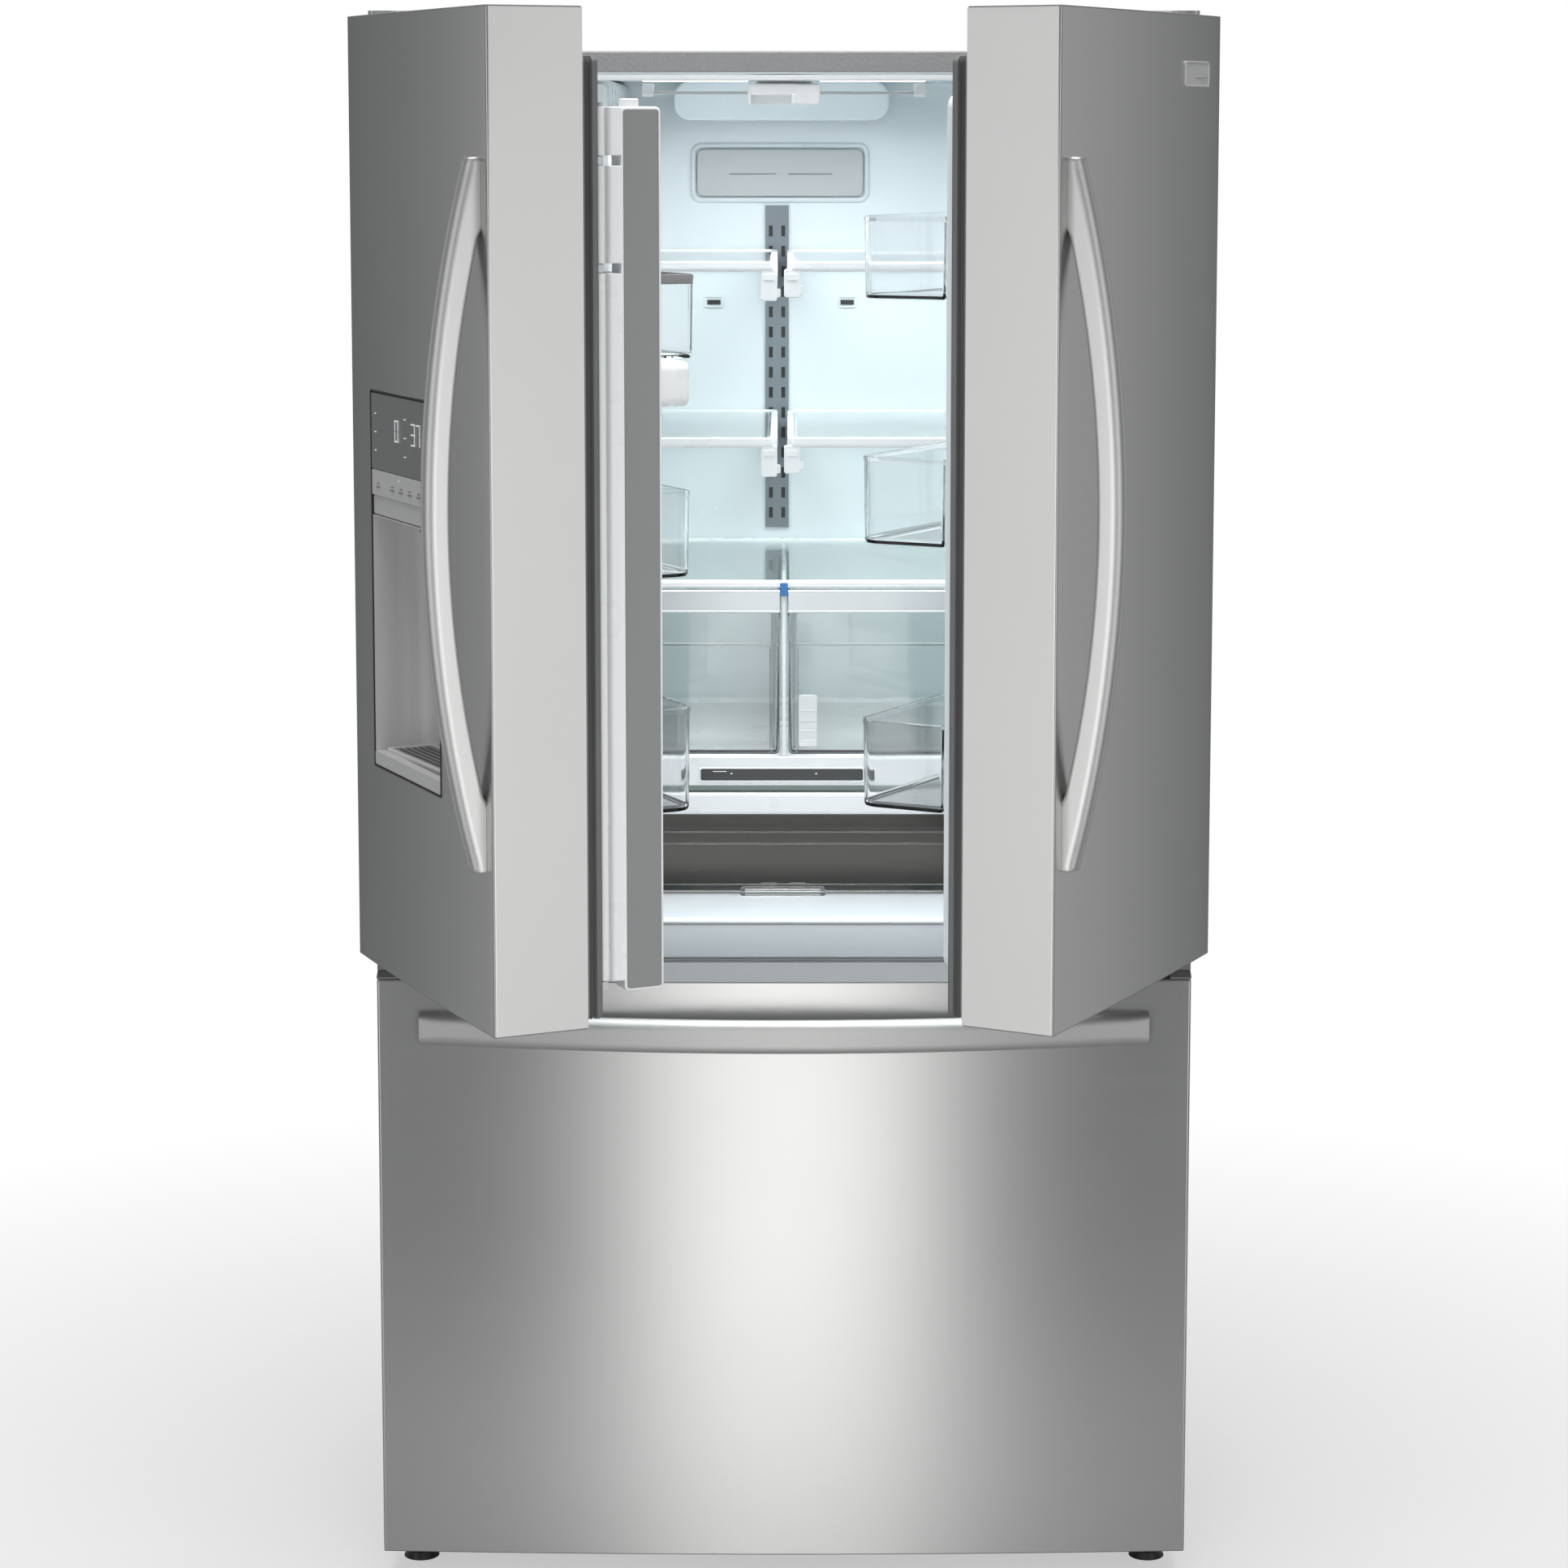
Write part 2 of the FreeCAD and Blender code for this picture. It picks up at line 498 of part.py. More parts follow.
def ceiling_pieces():
    """Light bar, the mullion's cam guide, filter cover and ice maker."""
    lamp = rounded(-160, 160, 150, 190, 1702, FRIDGE_CEILING, 5, 0)
    trim = block(-148, 148, 140, 146, 1692, 1697)
    hangers = [block(x, x + 8, 140, 156, 1692, 1706) for x in (-156, 148)]
    middle = block(-148, 148, 143, 152, 1694, 1704)
    parts["ceiling_light"] = fuse([lamp, trim, middle] + hangers).cut(block(-41, 41, 100, 182, 1670, 1720))

    guide = rounded(-40, 40, 112, 178, 1680, FRIDGE_CEILING, 3, 2)
    pocket = block(-37, 12, 118, 172, 1670, 1690)
    notch = block(-37, 9, 100, 120, 1670, 1690)
    parts["mullion_guide"] = guide.cut(pocket).cut(notch)

    plate = rounded(-112, 102, CHAMBER_BACK - 9, CHAMBER_BACK - 6, 1567, 1628, 9, 1)
    rim = rounded(-120, 110, CHAMBER_BACK - 6, CHAMBER_BACK, 1559, 1636, 14, 1)
    parts["air_filter_cover"] = plate.fuse(rim)

    box = rounded(-409, ICE_BOX_RIGHT, SHELF_FRONT + 10, CHAMBER_BACK - 4.5, 1400, 1711, 10, 1)
    door = rounded(-404, ICE_BOX_RIGHT - 5, SHELF_FRONT, SHELF_FRONT + 12, 1405, 1706, 8, 1)
    spout = rounded(-345, -265, SHELF_FRONT - 6, SHELF_FRONT + 6, 1420, 1500, 12, 1)
    cavity = block(-400, ICE_BOX_RIGHT - 9, SHELF_FRONT + 22, CHAMBER_BACK - 14, 1409, 1702)
    parts["ice_maker"] = fuse([box, door, spout]).cut(cavity)


def drawers():
    """Crispers, pantry deck with its control strip, and the full-width pantry drawer."""
    for name, x0, x1 in (("crisper_left", -403, -4), ("crisper_right", 4, 403)):
        tub = tray(x0, x1, INNER_FRONT + 6, 655, DECK_TOP + 2, 1108, 2.5)
        window = block(x0, x1, INNER_FRONT + 1, INNER_FRONT + 6.5, DECK_TOP + 3, 1089)
        band = rounded(x0, x1, INNER_FRONT, INNER_FRONT + 9, 1088, 1115.5, 2, 0)
        lip = block(x0, x1, INNER_FRONT - 2, INNER_FRONT + 2, 1048, 1053)
        parts[name] = fuse([tub, window, band, lip])
    shutter = block(SHUTTER_X, SHUTTER_X + 22, INNER_FRONT + 8.8, INNER_FRONT + 12, 928, 990)
    grip = block(SHUTTER_X + 7, SHUTTER_X + 15, INNER_FRONT + 12, INNER_FRONT + 18, 950, 968)
    parts["humidity_shutter"] = shutter.fuse(grip)

    deck = rounded(-408, 408, INNER_FRONT + 2, 738, DECK_BOTTOM + 5, DECK_TOP, 3, 0)
    skirt = block(-408, 408, INNER_FRONT + 6, 730, DECK_BOTTOM, DECK_BOTTOM + 5)
    recess = block(-99, 94, INNER_FRONT - 2, INNER_FRONT + 6, 888, 903)
    hollow = block(-405, 405, INNER_FRONT + 9, 735, DECK_BOTTOM + 3, DECK_TOP - 3)
    parts["pantry_deck"] = deck.fuse(skirt).cut(recess).cut(hollow)
    parts["temperature_panel"] = rounded(-98.5, 93.5, INNER_FRONT + 1, INNER_FRONT + 6, 888.5, 902.5, 2.5, 1)

    tub = tray(-404, 404, INNER_FRONT + 5, 655, FRIDGE_FLOOR + 5, 870, 2.5)
    window = block(-404, 404, INNER_FRONT, INNER_FRONT + 5.5, FRIDGE_FLOOR + 5, 849)
    band = rounded(-404, 404, INNER_FRONT - 2, INNER_FRONT + 8, 848, 874, 2.5, 0)
    lips = [block(-404, 404, INNER_FRONT - 2, INNER_FRONT + 1, z, z + 3) for z in (812, 826)]
    latch = rounded(-52, 49, INNER_FRONT - 18, INNER_FRONT + 4, FRIDGE_FLOOR + 3, 762, 5, 2)
    latch = latch.cut(block(-44, 41, INNER_FRONT - 14, INNER_FRONT - 3, FRIDGE_FLOOR, 758))
    parts["pantry_drawer"] = fuse([tub, window, band, latch] + lips)


# ---------------------------------------------------------------- doors
def door_skin():
    """Stainless front of a left door, folded back along both sides."""
    x0, x1 = door_x(0), door_x(DOOR_WIDTH)
    z0, z1 = DOOR_BOTTOM + CAP, DOOR_TOP - CAP
    outer = bowed_slab(x0, x1, DOOR_BACK - 4, z0, z1)
    return outer.cut(bowed_slab(x0 + SKIN, x1 - SKIN, DOOR_BACK, z0 - 1, z1 + 1, SKIN))


def door_core(dyke_end):
    """Insulated core with its inner liner: flat flange, raised dyke and hollowed middle."""
    x0, x1 = door_x(0), door_x(DOOR_WIDTH)
    core = bowed_slab(x0 + SKIN, x1 - SKIN, DOOR_BACK, DOOR_BOTTOM, DOOR_TOP, SKIN)
    flange = block(x0, x1, DOOR_BACK - 4, DOOR_BACK, DOOR_BOTTOM, DOOR_TOP)
    caps = [bowed_slab(x0, x1, DOOR_BACK, z, z + CAP) for z in (DOOR_BOTTOM, DOOR_TOP - CAP)]
    dyke = ring(door_x(46), door_x(dyke_end), 778, 1690, 26, DOOR_BACK - 1, 134)
    hollow = rounded(door_x(72), door_x(dyke_end - 26), DOOR_BACK - 8, 140, 804, 1664, 10, 1)
    body = fuse([core, flange, dyke] + caps).cut(hollow)
    for z0, z1 in ((DOOR_BOTTOM - 1, DOOR_BOTTOM + 27), (DOOR_TOP - 28, DOOR_TOP + 1)):
        x = door_x(HINGE_INSET)
        body = body.cut(rod(HINGE_PIN + RUNNING, (x, HINGE_BACK, z0), (x, HINGE_BACK, z1)))
    return body


def door_gasket():
    """Magnetic seal round the door's inner flange."""
    return ring(door_x(6), door_x(451), 738, 1727, GASKET_WIDTH, DOOR_BACK, GASKET_REST)


def door_handle():
    """Arched upright bar near the free edge."""
    x = door_x(425)
    bar = arched_bar(363, 63, 21, 26, 14)
    bar = bar.translated(Vector(x, front_y(x - 13), 1263))
    return bar.cut(bowed_slab(-HALF, 0, DOOR_BACK, DOOR_BOTTOM, DOOR_TOP))


def door_bin(x0, x1, z0, z1):
    """Clear bin: open tray that flares slightly, with a deeper wall at the door."""
    return tray(x0, x1, DOOR_BACK + 1, BIN_REACH, z0, z1, 2.5, 16)


def left_door():
    """Left door with dispenser, bins, handle and the folding mullion."""
    pocket = block(door_x(POCKET_LEFT + 3), door_x(POCKET_RIGHT - 3), -40, 78,
                   POCKET_BOTTOM + 3, POCKET_TOP - 3)
    parts["left_door_skin"] = left_open(door_skin().cut(pocket))

    chute = rounded(door_x(78), door_x(290), 70, 190, 1416, 1640, 14, 1)
    shelf_box = rounded(door_x(60), door_x(398), 70, BIN_REACH - 4, 1366, 1414, 14, 1)
    core = fuse([door_core(400), chute, shelf_box]).cut(pocket)
    parts["left_door_liner"] = left_open(core)
    parts["left_door_gasket"] = left_open(door_gasket())
    parts["left_door_handle"] = left_open(door_handle())

    bins = [
        door_bin(door_x(47), door_x(403), 1188, 1278),
        door_bin(door_x(47), door_x(403), 940, 1050),
    ]
    dairy = tray(door_x(292), door_x(403), DOOR_BACK + 1, BIN_REACH, 1416, 1504, 2.5, 8)
    cut_dyke = ring(door_x(46), door_x(400), 778, 1690, 26, DOOR_BACK - 2, 134.3)
    parts["left_door_bins"] = left_open(group([shape.cut(cut_dyke) for shape in bins + [dairy]]))
    dispenser()
    mullion()


def dispenser():
    """Ice and water dispenser set into the left door."""
    x0, x1 = door_x(POCKET_LEFT), door_x(POCKET_RIGHT)
    bezel = bowed_slab(x0, x1, 4, POCKET_BOTTOM, POCKET_TOP, -1.0)
    bezel = bezel.cut(bowed_slab(x0 - 1, x1 + 1, 80, POCKET_BOTTOM - 1, POCKET_TOP + 1, 0.0))
    body = block(x0 + 3.3, x1 - 3.3, -9, 77.5, POCKET_BOTTOM + 3.3, POCKET_TOP - 3.3)
    body = body.common(bowed_slab(-HALF, 0, 90, POCKET_BOTTOM, POCKET_TOP))
    cavity = rounded(x0 + 9, x1 - 9, -40, 66, 974, 1240, 22, 1)
    room = block(x0 + 8, x1 - 8, -40, 3, 1286, POCKET_TOP - 6)
    housing = fuse([bezel, body]).cut(cavity).cut(room)
    well = block(x0 + 16, x1 - 16, 2, 60, 966, 981)
    housing = housing.cut(well)
    nozzle_x = (x0 + x1) / 2
    spout = Part.makeCone(15, 20, 22, Vector(nozzle_x, 30, 1219))
    lugs = [block(x, x + 4, 38, 66.5, 1200, 1212) for x in (nozzle_x - 32, nozzle_x + 28)]
    parts["dispenser_housing"] = left_open(fuse([housing, spout] + lugs))

    glass = bowed_slab(x0 + 8.4, x1 - 8.4, 2.6, 1286.4, POCKET_TOP - 6.4, -0.6)
    parts["display_panel"] = left_open(glass)

    blade = block(nozzle_x - 22, nozzle_x + 22, 47, 50, 1090, 1204)
    barrel = rod(5, (nozzle_x - 27.5, PADDLE_BACK, 1206), (nozzle_x + 27.5, PADDLE_BACK, 1206))
    web = block(nozzle_x - 20, nozzle_x + 20, PADDLE_BACK, 49, 1198, 1206)
    parts["dispenser_paddle"] = left_open(fuse([blade, barrel, web]))

    pan = rounded(x0 + 16.5, x1 - 16.5, 4, 59.5, 966.3, 978, 4, 2)
    slots = [block(x0 + 24 + 12 * k, x0 + 30 + 12 * k, 10, 54, 970, 980) for k in range(15)]
    parts["drip_tray"] = left_open(pan.cut(slots))


def mullion():
    """Folding centre post on the left door, stored folded back behind the free edge."""
    face = MULLION_PIVOT_IN + (MULLION_PIVOT_BACK - MULLION_FACE)
    edge, far = 125.0, 185.0
    bottom, top = 762.0, 1676.0
    pivot = (door_x(MULLION_PIVOT_IN), MULLION_PIVOT_BACK)
    spans = ((bottom + 12, 1507.5), (1517.5, 1616.5), (1626.5, top))
    bar = rounded(door_x(face - 28), door_x(face), 140, far, bottom, top, 4, 2)
    knuckles = []
    for z0, z1 in spans:
        knuckles.append(block(door_x(face - 19), door_x(face), edge, 142, z0, z1))
        knuckles.append(rod(6.5, (pivot[0], pivot[1], z0), (pivot[0], pivot[1], z1)))
    tab = rounded(door_x(face - 12), door_x(face - 6), 145, 161, top - 2, top + 8, 2.5, 2)
    body = fuse([bar, tab] + knuckles)
    body = body.cut(rod(3 + RUNNING, (pivot[0], pivot[1], 0), (pivot[0], pivot[1], 2000)))
    panel = block(door_x(face - 1.5), door_x(face) + 1, 141.5, 181.5, bottom + 7, top - 6)
    parts["mullion_body"] = left_open(body.cut(panel))
    plate = block(door_x(face - 1.5), door_x(face), 141.8, 181.2, bottom + 7.3, top - 6.3)
    parts["mullion_face"] = left_open(plate)

    pin = rod(3, (pivot[0], pivot[1], bottom + 2), (pivot[0], pivot[1], top + 4))
    lugs = []
    for z0, z1 in ((bottom + 2, bottom + 11), (1508.5, 1516.5), (1617.5, 1625.5)):
        lugs.append(block(door_x(402), pivot[0] + 5, DOOR_BACK, MULLION_PIVOT_BACK + 2, z0, z1))
    parts["mullion_hinges"] = left_open(fuse([pin] + lugs))


def right_door():
    """Right door: the left one's mirror image without dispenser or mullion."""
    parts["right_door_skin"] = right_open(door_skin())
    parts["right_door_liner"] = right_open(door_core(416))
    parts["right_door_gasket"] = right_open(door_gasket())
    parts["right_door_handle"] = right_open(door_handle())
    levels = ((1478, 1564), (1222, 1314), (943, 1036))
    rim = ring(door_x(46), door_x(416), 778, 1690, 26, DOOR_BACK - 2, 134.3)
    bins = [door_bin(door_x(47), door_x(410), z0, z1).cut(rim) for z0, z1 in levels]
    parts["right_door_bins"] = right_open(group(bins))
    plate = bowed_slab(door_x(41), door_x(117), 5, 1698, 1726, -2.0)
    plate = plate.cut(bowed_slab(door_x(0), door_x(200), 60, 1690, 1730, 0.0))
    parts["badge"] = right_open(plate)


# ---------------------------------------------------------------- freezer drawer
def freezer_drawer():
    """Bowed drawer front, its liner and seal, handle, slides and basket."""
    z0, z1 = DRAWER_BOTTOM, DRAWER_TOP
    skin = bowed_slab(-HALF, HALF, DOOR_BACK - 4, z0 + CAP, z1 - CAP)
    skin = skin.cut(bowed_slab(-HALF + SKIN, HALF - SKIN, DOOR_BACK, z0, z1, SKIN))
    parts["drawer_skin"] = skin
    core = bowed_slab(-HALF + SKIN, HALF - SKIN, DOOR_BACK, z0, z1, SKIN)
    flange = block(-HALF, HALF, DOOR_BACK - 4, DOOR_BACK, z0, z1)
    caps = [bowed_slab(-HALF, HALF, DOOR_BACK, z, z + CAP) for z in (z0, z1 - CAP)]
    plug = rounded(-398, 398, DOOR_BACK - 1, 118, 118, 642, 14, 1)
    parts["drawer_liner"] = fuse([core, flange, plug] + caps)
    parts["drawer_gasket"] = ring(-446, 446, 64, 690, GASKET_WIDTH, DOOR_BACK, GASKET_REST)

    bar = arched_bar(411, 60, 17, 38, 14)
    bar.rotate(Vector(0, 0, 0), Vector(0, 1, 0), 90)
    bar = bar.translated(Vector(0, front_y(411), 652))
    parts["drawer_handle"] = bar.cut(bowed_slab(-HALF, HALF, DOOR_BACK, z0, z1))

    fixed, moving = [], []
    for sign in (-1, 1):
        outer = block(406, 411.7, 122, 556, 370, 415) if sign > 0 else block(-411.7, -406, 122, 556, 370, 415)
        fixed.append(outer)
        arm = block(400, 405.4, 118, 548, 376, 409)
        bracket = block(396, 405.4, 118, 123, 330, 450)
        piece = fuse([arm, bracket])
        moving.append(piece if sign > 0 else mirrored(piece))
    parts["freezer_rails"] = group(fixed)
    parts["drawer_slides"] = group(moving)
    basket = tray(-394, 394, 124, 545, 130, 600, 3.0, 24)
    rim = rounded(-399.5, 399.5, 123.5, 547, 594, 600, 20, 2)
    mouth = rounded(-390, 390, 130, 540, 590, 604, 18, 2)
    parts["freezer_basket"] = fuse([basket, rim.cut(mouth)])


cabinet_shell()
liners()
hinges()
base()
cooling()
shelves()
ceiling_pieces()
drawers()
left_door()
right_door()
freezer_drawer()

os.makedirs("parts", exist_ok=True)
for name, shape in sorted(parts.items()):
    shape = shape.translated(Vector(0, -FOOTPRINT_MIDDLE, 0))
    if not shape.isValid():
        print("invalid shape:", name)
    shape.exportStep("parts/" + name + ".step")
print(len(parts), "pieces")
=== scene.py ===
"""Looks of a french door refrigerator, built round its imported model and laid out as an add-on.

Forms are drawn in millimetres on the cabinet's own axes: X to the right, Y back from the shut
doors' plane, Z up from the floor.  A door's form is drawn on the shut left door, with X measured
from its hinge side, and is then turned or mirrored to where the door is stored.  Each finished
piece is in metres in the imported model's frame.
"""
import json
import math

import bmesh
import bpy
from mathutils import Matrix, Vector


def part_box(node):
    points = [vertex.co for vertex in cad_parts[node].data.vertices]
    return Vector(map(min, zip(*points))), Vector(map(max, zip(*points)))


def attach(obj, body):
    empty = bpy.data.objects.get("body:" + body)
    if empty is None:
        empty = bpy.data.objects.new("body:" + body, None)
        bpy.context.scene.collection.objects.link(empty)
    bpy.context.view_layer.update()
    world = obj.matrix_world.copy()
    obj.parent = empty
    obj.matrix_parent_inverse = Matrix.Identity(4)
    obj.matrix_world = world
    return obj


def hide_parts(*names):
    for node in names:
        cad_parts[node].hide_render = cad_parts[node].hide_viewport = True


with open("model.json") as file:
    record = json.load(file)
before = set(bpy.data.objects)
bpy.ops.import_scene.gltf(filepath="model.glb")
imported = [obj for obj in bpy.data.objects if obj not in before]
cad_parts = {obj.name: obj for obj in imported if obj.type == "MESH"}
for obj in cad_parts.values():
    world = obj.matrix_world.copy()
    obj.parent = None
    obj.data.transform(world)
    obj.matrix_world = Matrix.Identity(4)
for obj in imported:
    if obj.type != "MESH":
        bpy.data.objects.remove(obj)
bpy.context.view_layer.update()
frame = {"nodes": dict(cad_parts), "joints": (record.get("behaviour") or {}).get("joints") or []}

bl_info = {
    "name": "French Door Refrigerator",
    "version": (1, 0, 0),
    "blender": (4, 5, 0),
    "location": "View3D > Sidebar > Refrigerator",
    "description": "Builds the refrigerator's visible pieces round its packed frame",
    "category": "Add Mesh",
}

JOINTS = {joint["name"]: joint for joint in frame["joints"]}
MM = 0.001


# ---------------------------------------------------------------- sizes taken from the frame
def edge(node, end, axis):
    """Low (0) or high (1) side of a node's box along one axis, in millimetres."""
    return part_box(node)[end][axis] / MM


BOW = 12.0
HALF = edge("drawer_skin", 1, 0)
BOW_RADIUS = (HALF ** 2 + BOW ** 2) / (2 * BOW)
FRONT = edge("drawer_skin", 0, 1) + BOW
DOOR_WIDTH = 454.0
DOOR_BOTTOM = edge("left_door_liner", 0, 2)
DOOR_TOP = edge("left_door_liner", 1, 2)
DOOR_BACK = edge("drawer_gasket", 0, 1) - FRONT
SEAL_FACE = edge("drawer_gasket", 1, 1) - FRONT
DRAWER_BOTTOM = edge("drawer_liner", 0, 2)
DRAWER_TOP = edge("drawer_liner", 1, 2)
CABINET_HALF = edge("outer_cabinet", 1, 0)
CABINET_TOP = edge("outer_cabinet", 1, 2)
CABINET_BOTTOM = edge("outer_cabinet", 0, 2)
CABINET_FRONT = edge("outer_cabinet", 0, 1) - FRONT
CABINET_BACK = edge("outer_cabinet", 1, 1) - FRONT
CHAMBER_HALF = 412.0
CHAMBER_BACK = 742.0
FRIDGE_FLOOR = 750.0
FRIDGE_CEILING = 1714.0
FREEZER_FLOOR = 105.0
FREEZER_CEILING = 655.0
DYKE_BOTTOM = 778.0
DYKE_TOP = 1690.0
DYKE_HEIGHT = 134.0
BIN_FACE = 238.0
INNER_FRONT = 255.0
SHELF_FRONT = 262.0
ICE_BOX_RIGHT = -200.0
UPPER_SHELF = 1500.0
MIDDLE_SHELF = 1294.0
COVER_TOP = 1126.0
DECK_TOP = 917.0
DECK_BOTTOM = 876.0
PANEL_LEFT, PANEL_RIGHT = 72.0, 302.0
PANEL_BOTTOM, PANEL_TOP = 956.0, 1372.0


def opened(joint):
    """Turn that carries a shut door to its stored pose."""
    hinge = Matrix.Translation(joint["pos_m"])
    turn = Matrix.Rotation(-math.radians(joint["range_deg"][0]), 4, Vector(joint["axis"]))
    return hinge @ turn @ hinge.inverted()


ROOM = Matrix.Translation((0, FRONT * MM, 0)) @ Matrix.Scale(MM, 4)
SHUT = ROOM @ Matrix.Translation((-HALF, 0, 0))
MIRROR = Matrix.Diagonal((-1, 1, 1, 1))
LEFT = opened(JOINTS["left_door_hinge"]) @ SHUT
RIGHT = opened(JOINTS["right_door_hinge"]) @ ROOM @ MIRROR @ Matrix.Translation((-HALF, 0, 0))
DOORS = (("left", LEFT), ("right", RIGHT))


def bow_y(x, inset=0.0):
    """Y of the bowed front surface at X, measured inset behind it."""
    return BOW_RADIUS - BOW - math.sqrt((BOW_RADIUS - inset) ** 2 - x ** 2)


def door_bow(across, inset=0.0):
    """The same bow, from the distance to the door's hinge side."""
    return bow_y(across - HALF, inset)


# ---------------------------------------------------------------- settings a user may change
class FridgeSizes(bpy.types.PropertyGroup):
    """Finishing sizes of the sheet metal, mouldings and glass."""

    steel_edge: bpy.props.FloatProperty(
        name="Steel edge", description="Bend radius of the folded steel fronts",
        default=0.003, min=0.001, unit="LENGTH")
    handle_rounding: bpy.props.FloatProperty(
        name="Handle rounding", description="Radius along the outer edges of the handles",
        default=0.0122, min=0.001, unit="LENGTH")
    bin_wall: bpy.props.FloatProperty(
        name="Bin wall", description="Wall thickness of the clear bins and drawers",
        default=0.003, min=0.001, unit="LENGTH")
    sheet: bpy.props.FloatProperty(
        name="Sheet", description="Thickness of the cabinet's sheet steel",
        default=0.0012, min=0.0005, unit="LENGTH")


class FridgeColours(bpy.types.PropertyGroup):
    """Base colours of the main finishes."""

    steel: bpy.props.FloatVectorProperty(
        name="Steel", description="Brushed stainless fronts", subtype="COLOR",
        default=(0.56, 0.56, 0.55))
    handle: bpy.props.FloatVectorProperty(
        name="Handle", description="Satin handles", subtype="COLOR", default=(0.68, 0.68, 0.67))
    wrap: bpy.props.FloatVectorProperty(
        name="Wrap", description="Painted cabinet sides and top", subtype="COLOR",
        default=(0.31, 0.31, 0.312))
    liner: bpy.props.FloatVectorProperty(
        name="Liner", description="Moulded inner liner", subtype="COLOR",
        default=(0.77, 0.825, 0.855))
    seal: bpy.props.FloatVectorProperty(
        name="Seal", description="Door seals", subtype="COLOR", default=(0.15, 0.15, 0.148))
    smoke: bpy.props.FloatVectorProperty(
        name="Smoke", description="Tinted clear plastic of the pantry drawer", subtype="COLOR",
        default=(0.80, 0.78, 0.76))
    accent: bpy.props.FloatVectorProperty(
        name="Accent", description="Small coloured tab between the crispers", subtype="COLOR",
        default=(0.03, 0.16, 0.42))


class FridgeStage(bpy.types.PropertyGroup):
    """Camera, floor and studio lights."""

    distance: bpy.props.FloatProperty(
        name="Distance", description="From the shut doors' plane to the camera",
        default=4.2164, min=1, unit="LENGTH")
    height: bpy.props.FloatProperty(
        name="Height", description="Camera above the floor", default=1.6528, unit="LENGTH")
    pitch: bpy.props.FloatProperty(
        name="Pitch", description="How far the camera looks down", default=0.12,
        subtype="ANGLE", unit="ROTATION")
    lens: bpy.props.FloatProperty(
        name="Lens", description="Focal length in millimetres", default=88.0, min=10)
    shift: bpy.props.FloatProperty(
        name="Shift", description="Vertical lens shift", default=-0.1227)
    key: bpy.props.FloatProperty(
        name="Key", description="Brightness of the two front soft boxes", default=1.1)
    strip: bpy.props.FloatProperty(
        name="Strip", description="Brightness of the upright strip before the drawer", default=1.9)
    side: bpy.props.FloatProperty(
        name="Side", description="Brightness of the soft boxes at the sides", default=0.5)
    top: bpy.props.FloatProperty(
        name="Top", description="Brightness of the soft box overhead", default=7.0)
    inner: bpy.props.FloatProperty(
        name="Inner", description="Brightness of the lamps in the compartment", default=6.0)
    surround: bpy.props.FloatProperty(
        name="Surround", description="Strength of the even light all round", default=0.14)


# ---------------------------------------------------------------- shader arithmetic
class Signal:
    """A shader socket that takes part in arithmetic: each operator adds its Math node."""

    def __init__(self, finish, socket):
        self.finish = finish
        self.socket = socket

    def _math(self, operation, first, second):
        return self.finish.node("ShaderNodeMath", {"operation": operation}, first, second)

    def __add__(self, other):
        return self._math("ADD", self, other)

    def __radd__(self, other):
        return self._math("ADD", other, self)

    def __sub__(self, other):
        return self._math("SUBTRACT", self, other)

    def __rsub__(self, other):
        return self._math("SUBTRACT", other, self)

    def __mul__(self, other):
        return self._math("MULTIPLY", self, other)

    def __rmul__(self, other):
        return self._math("MULTIPLY", other, self)


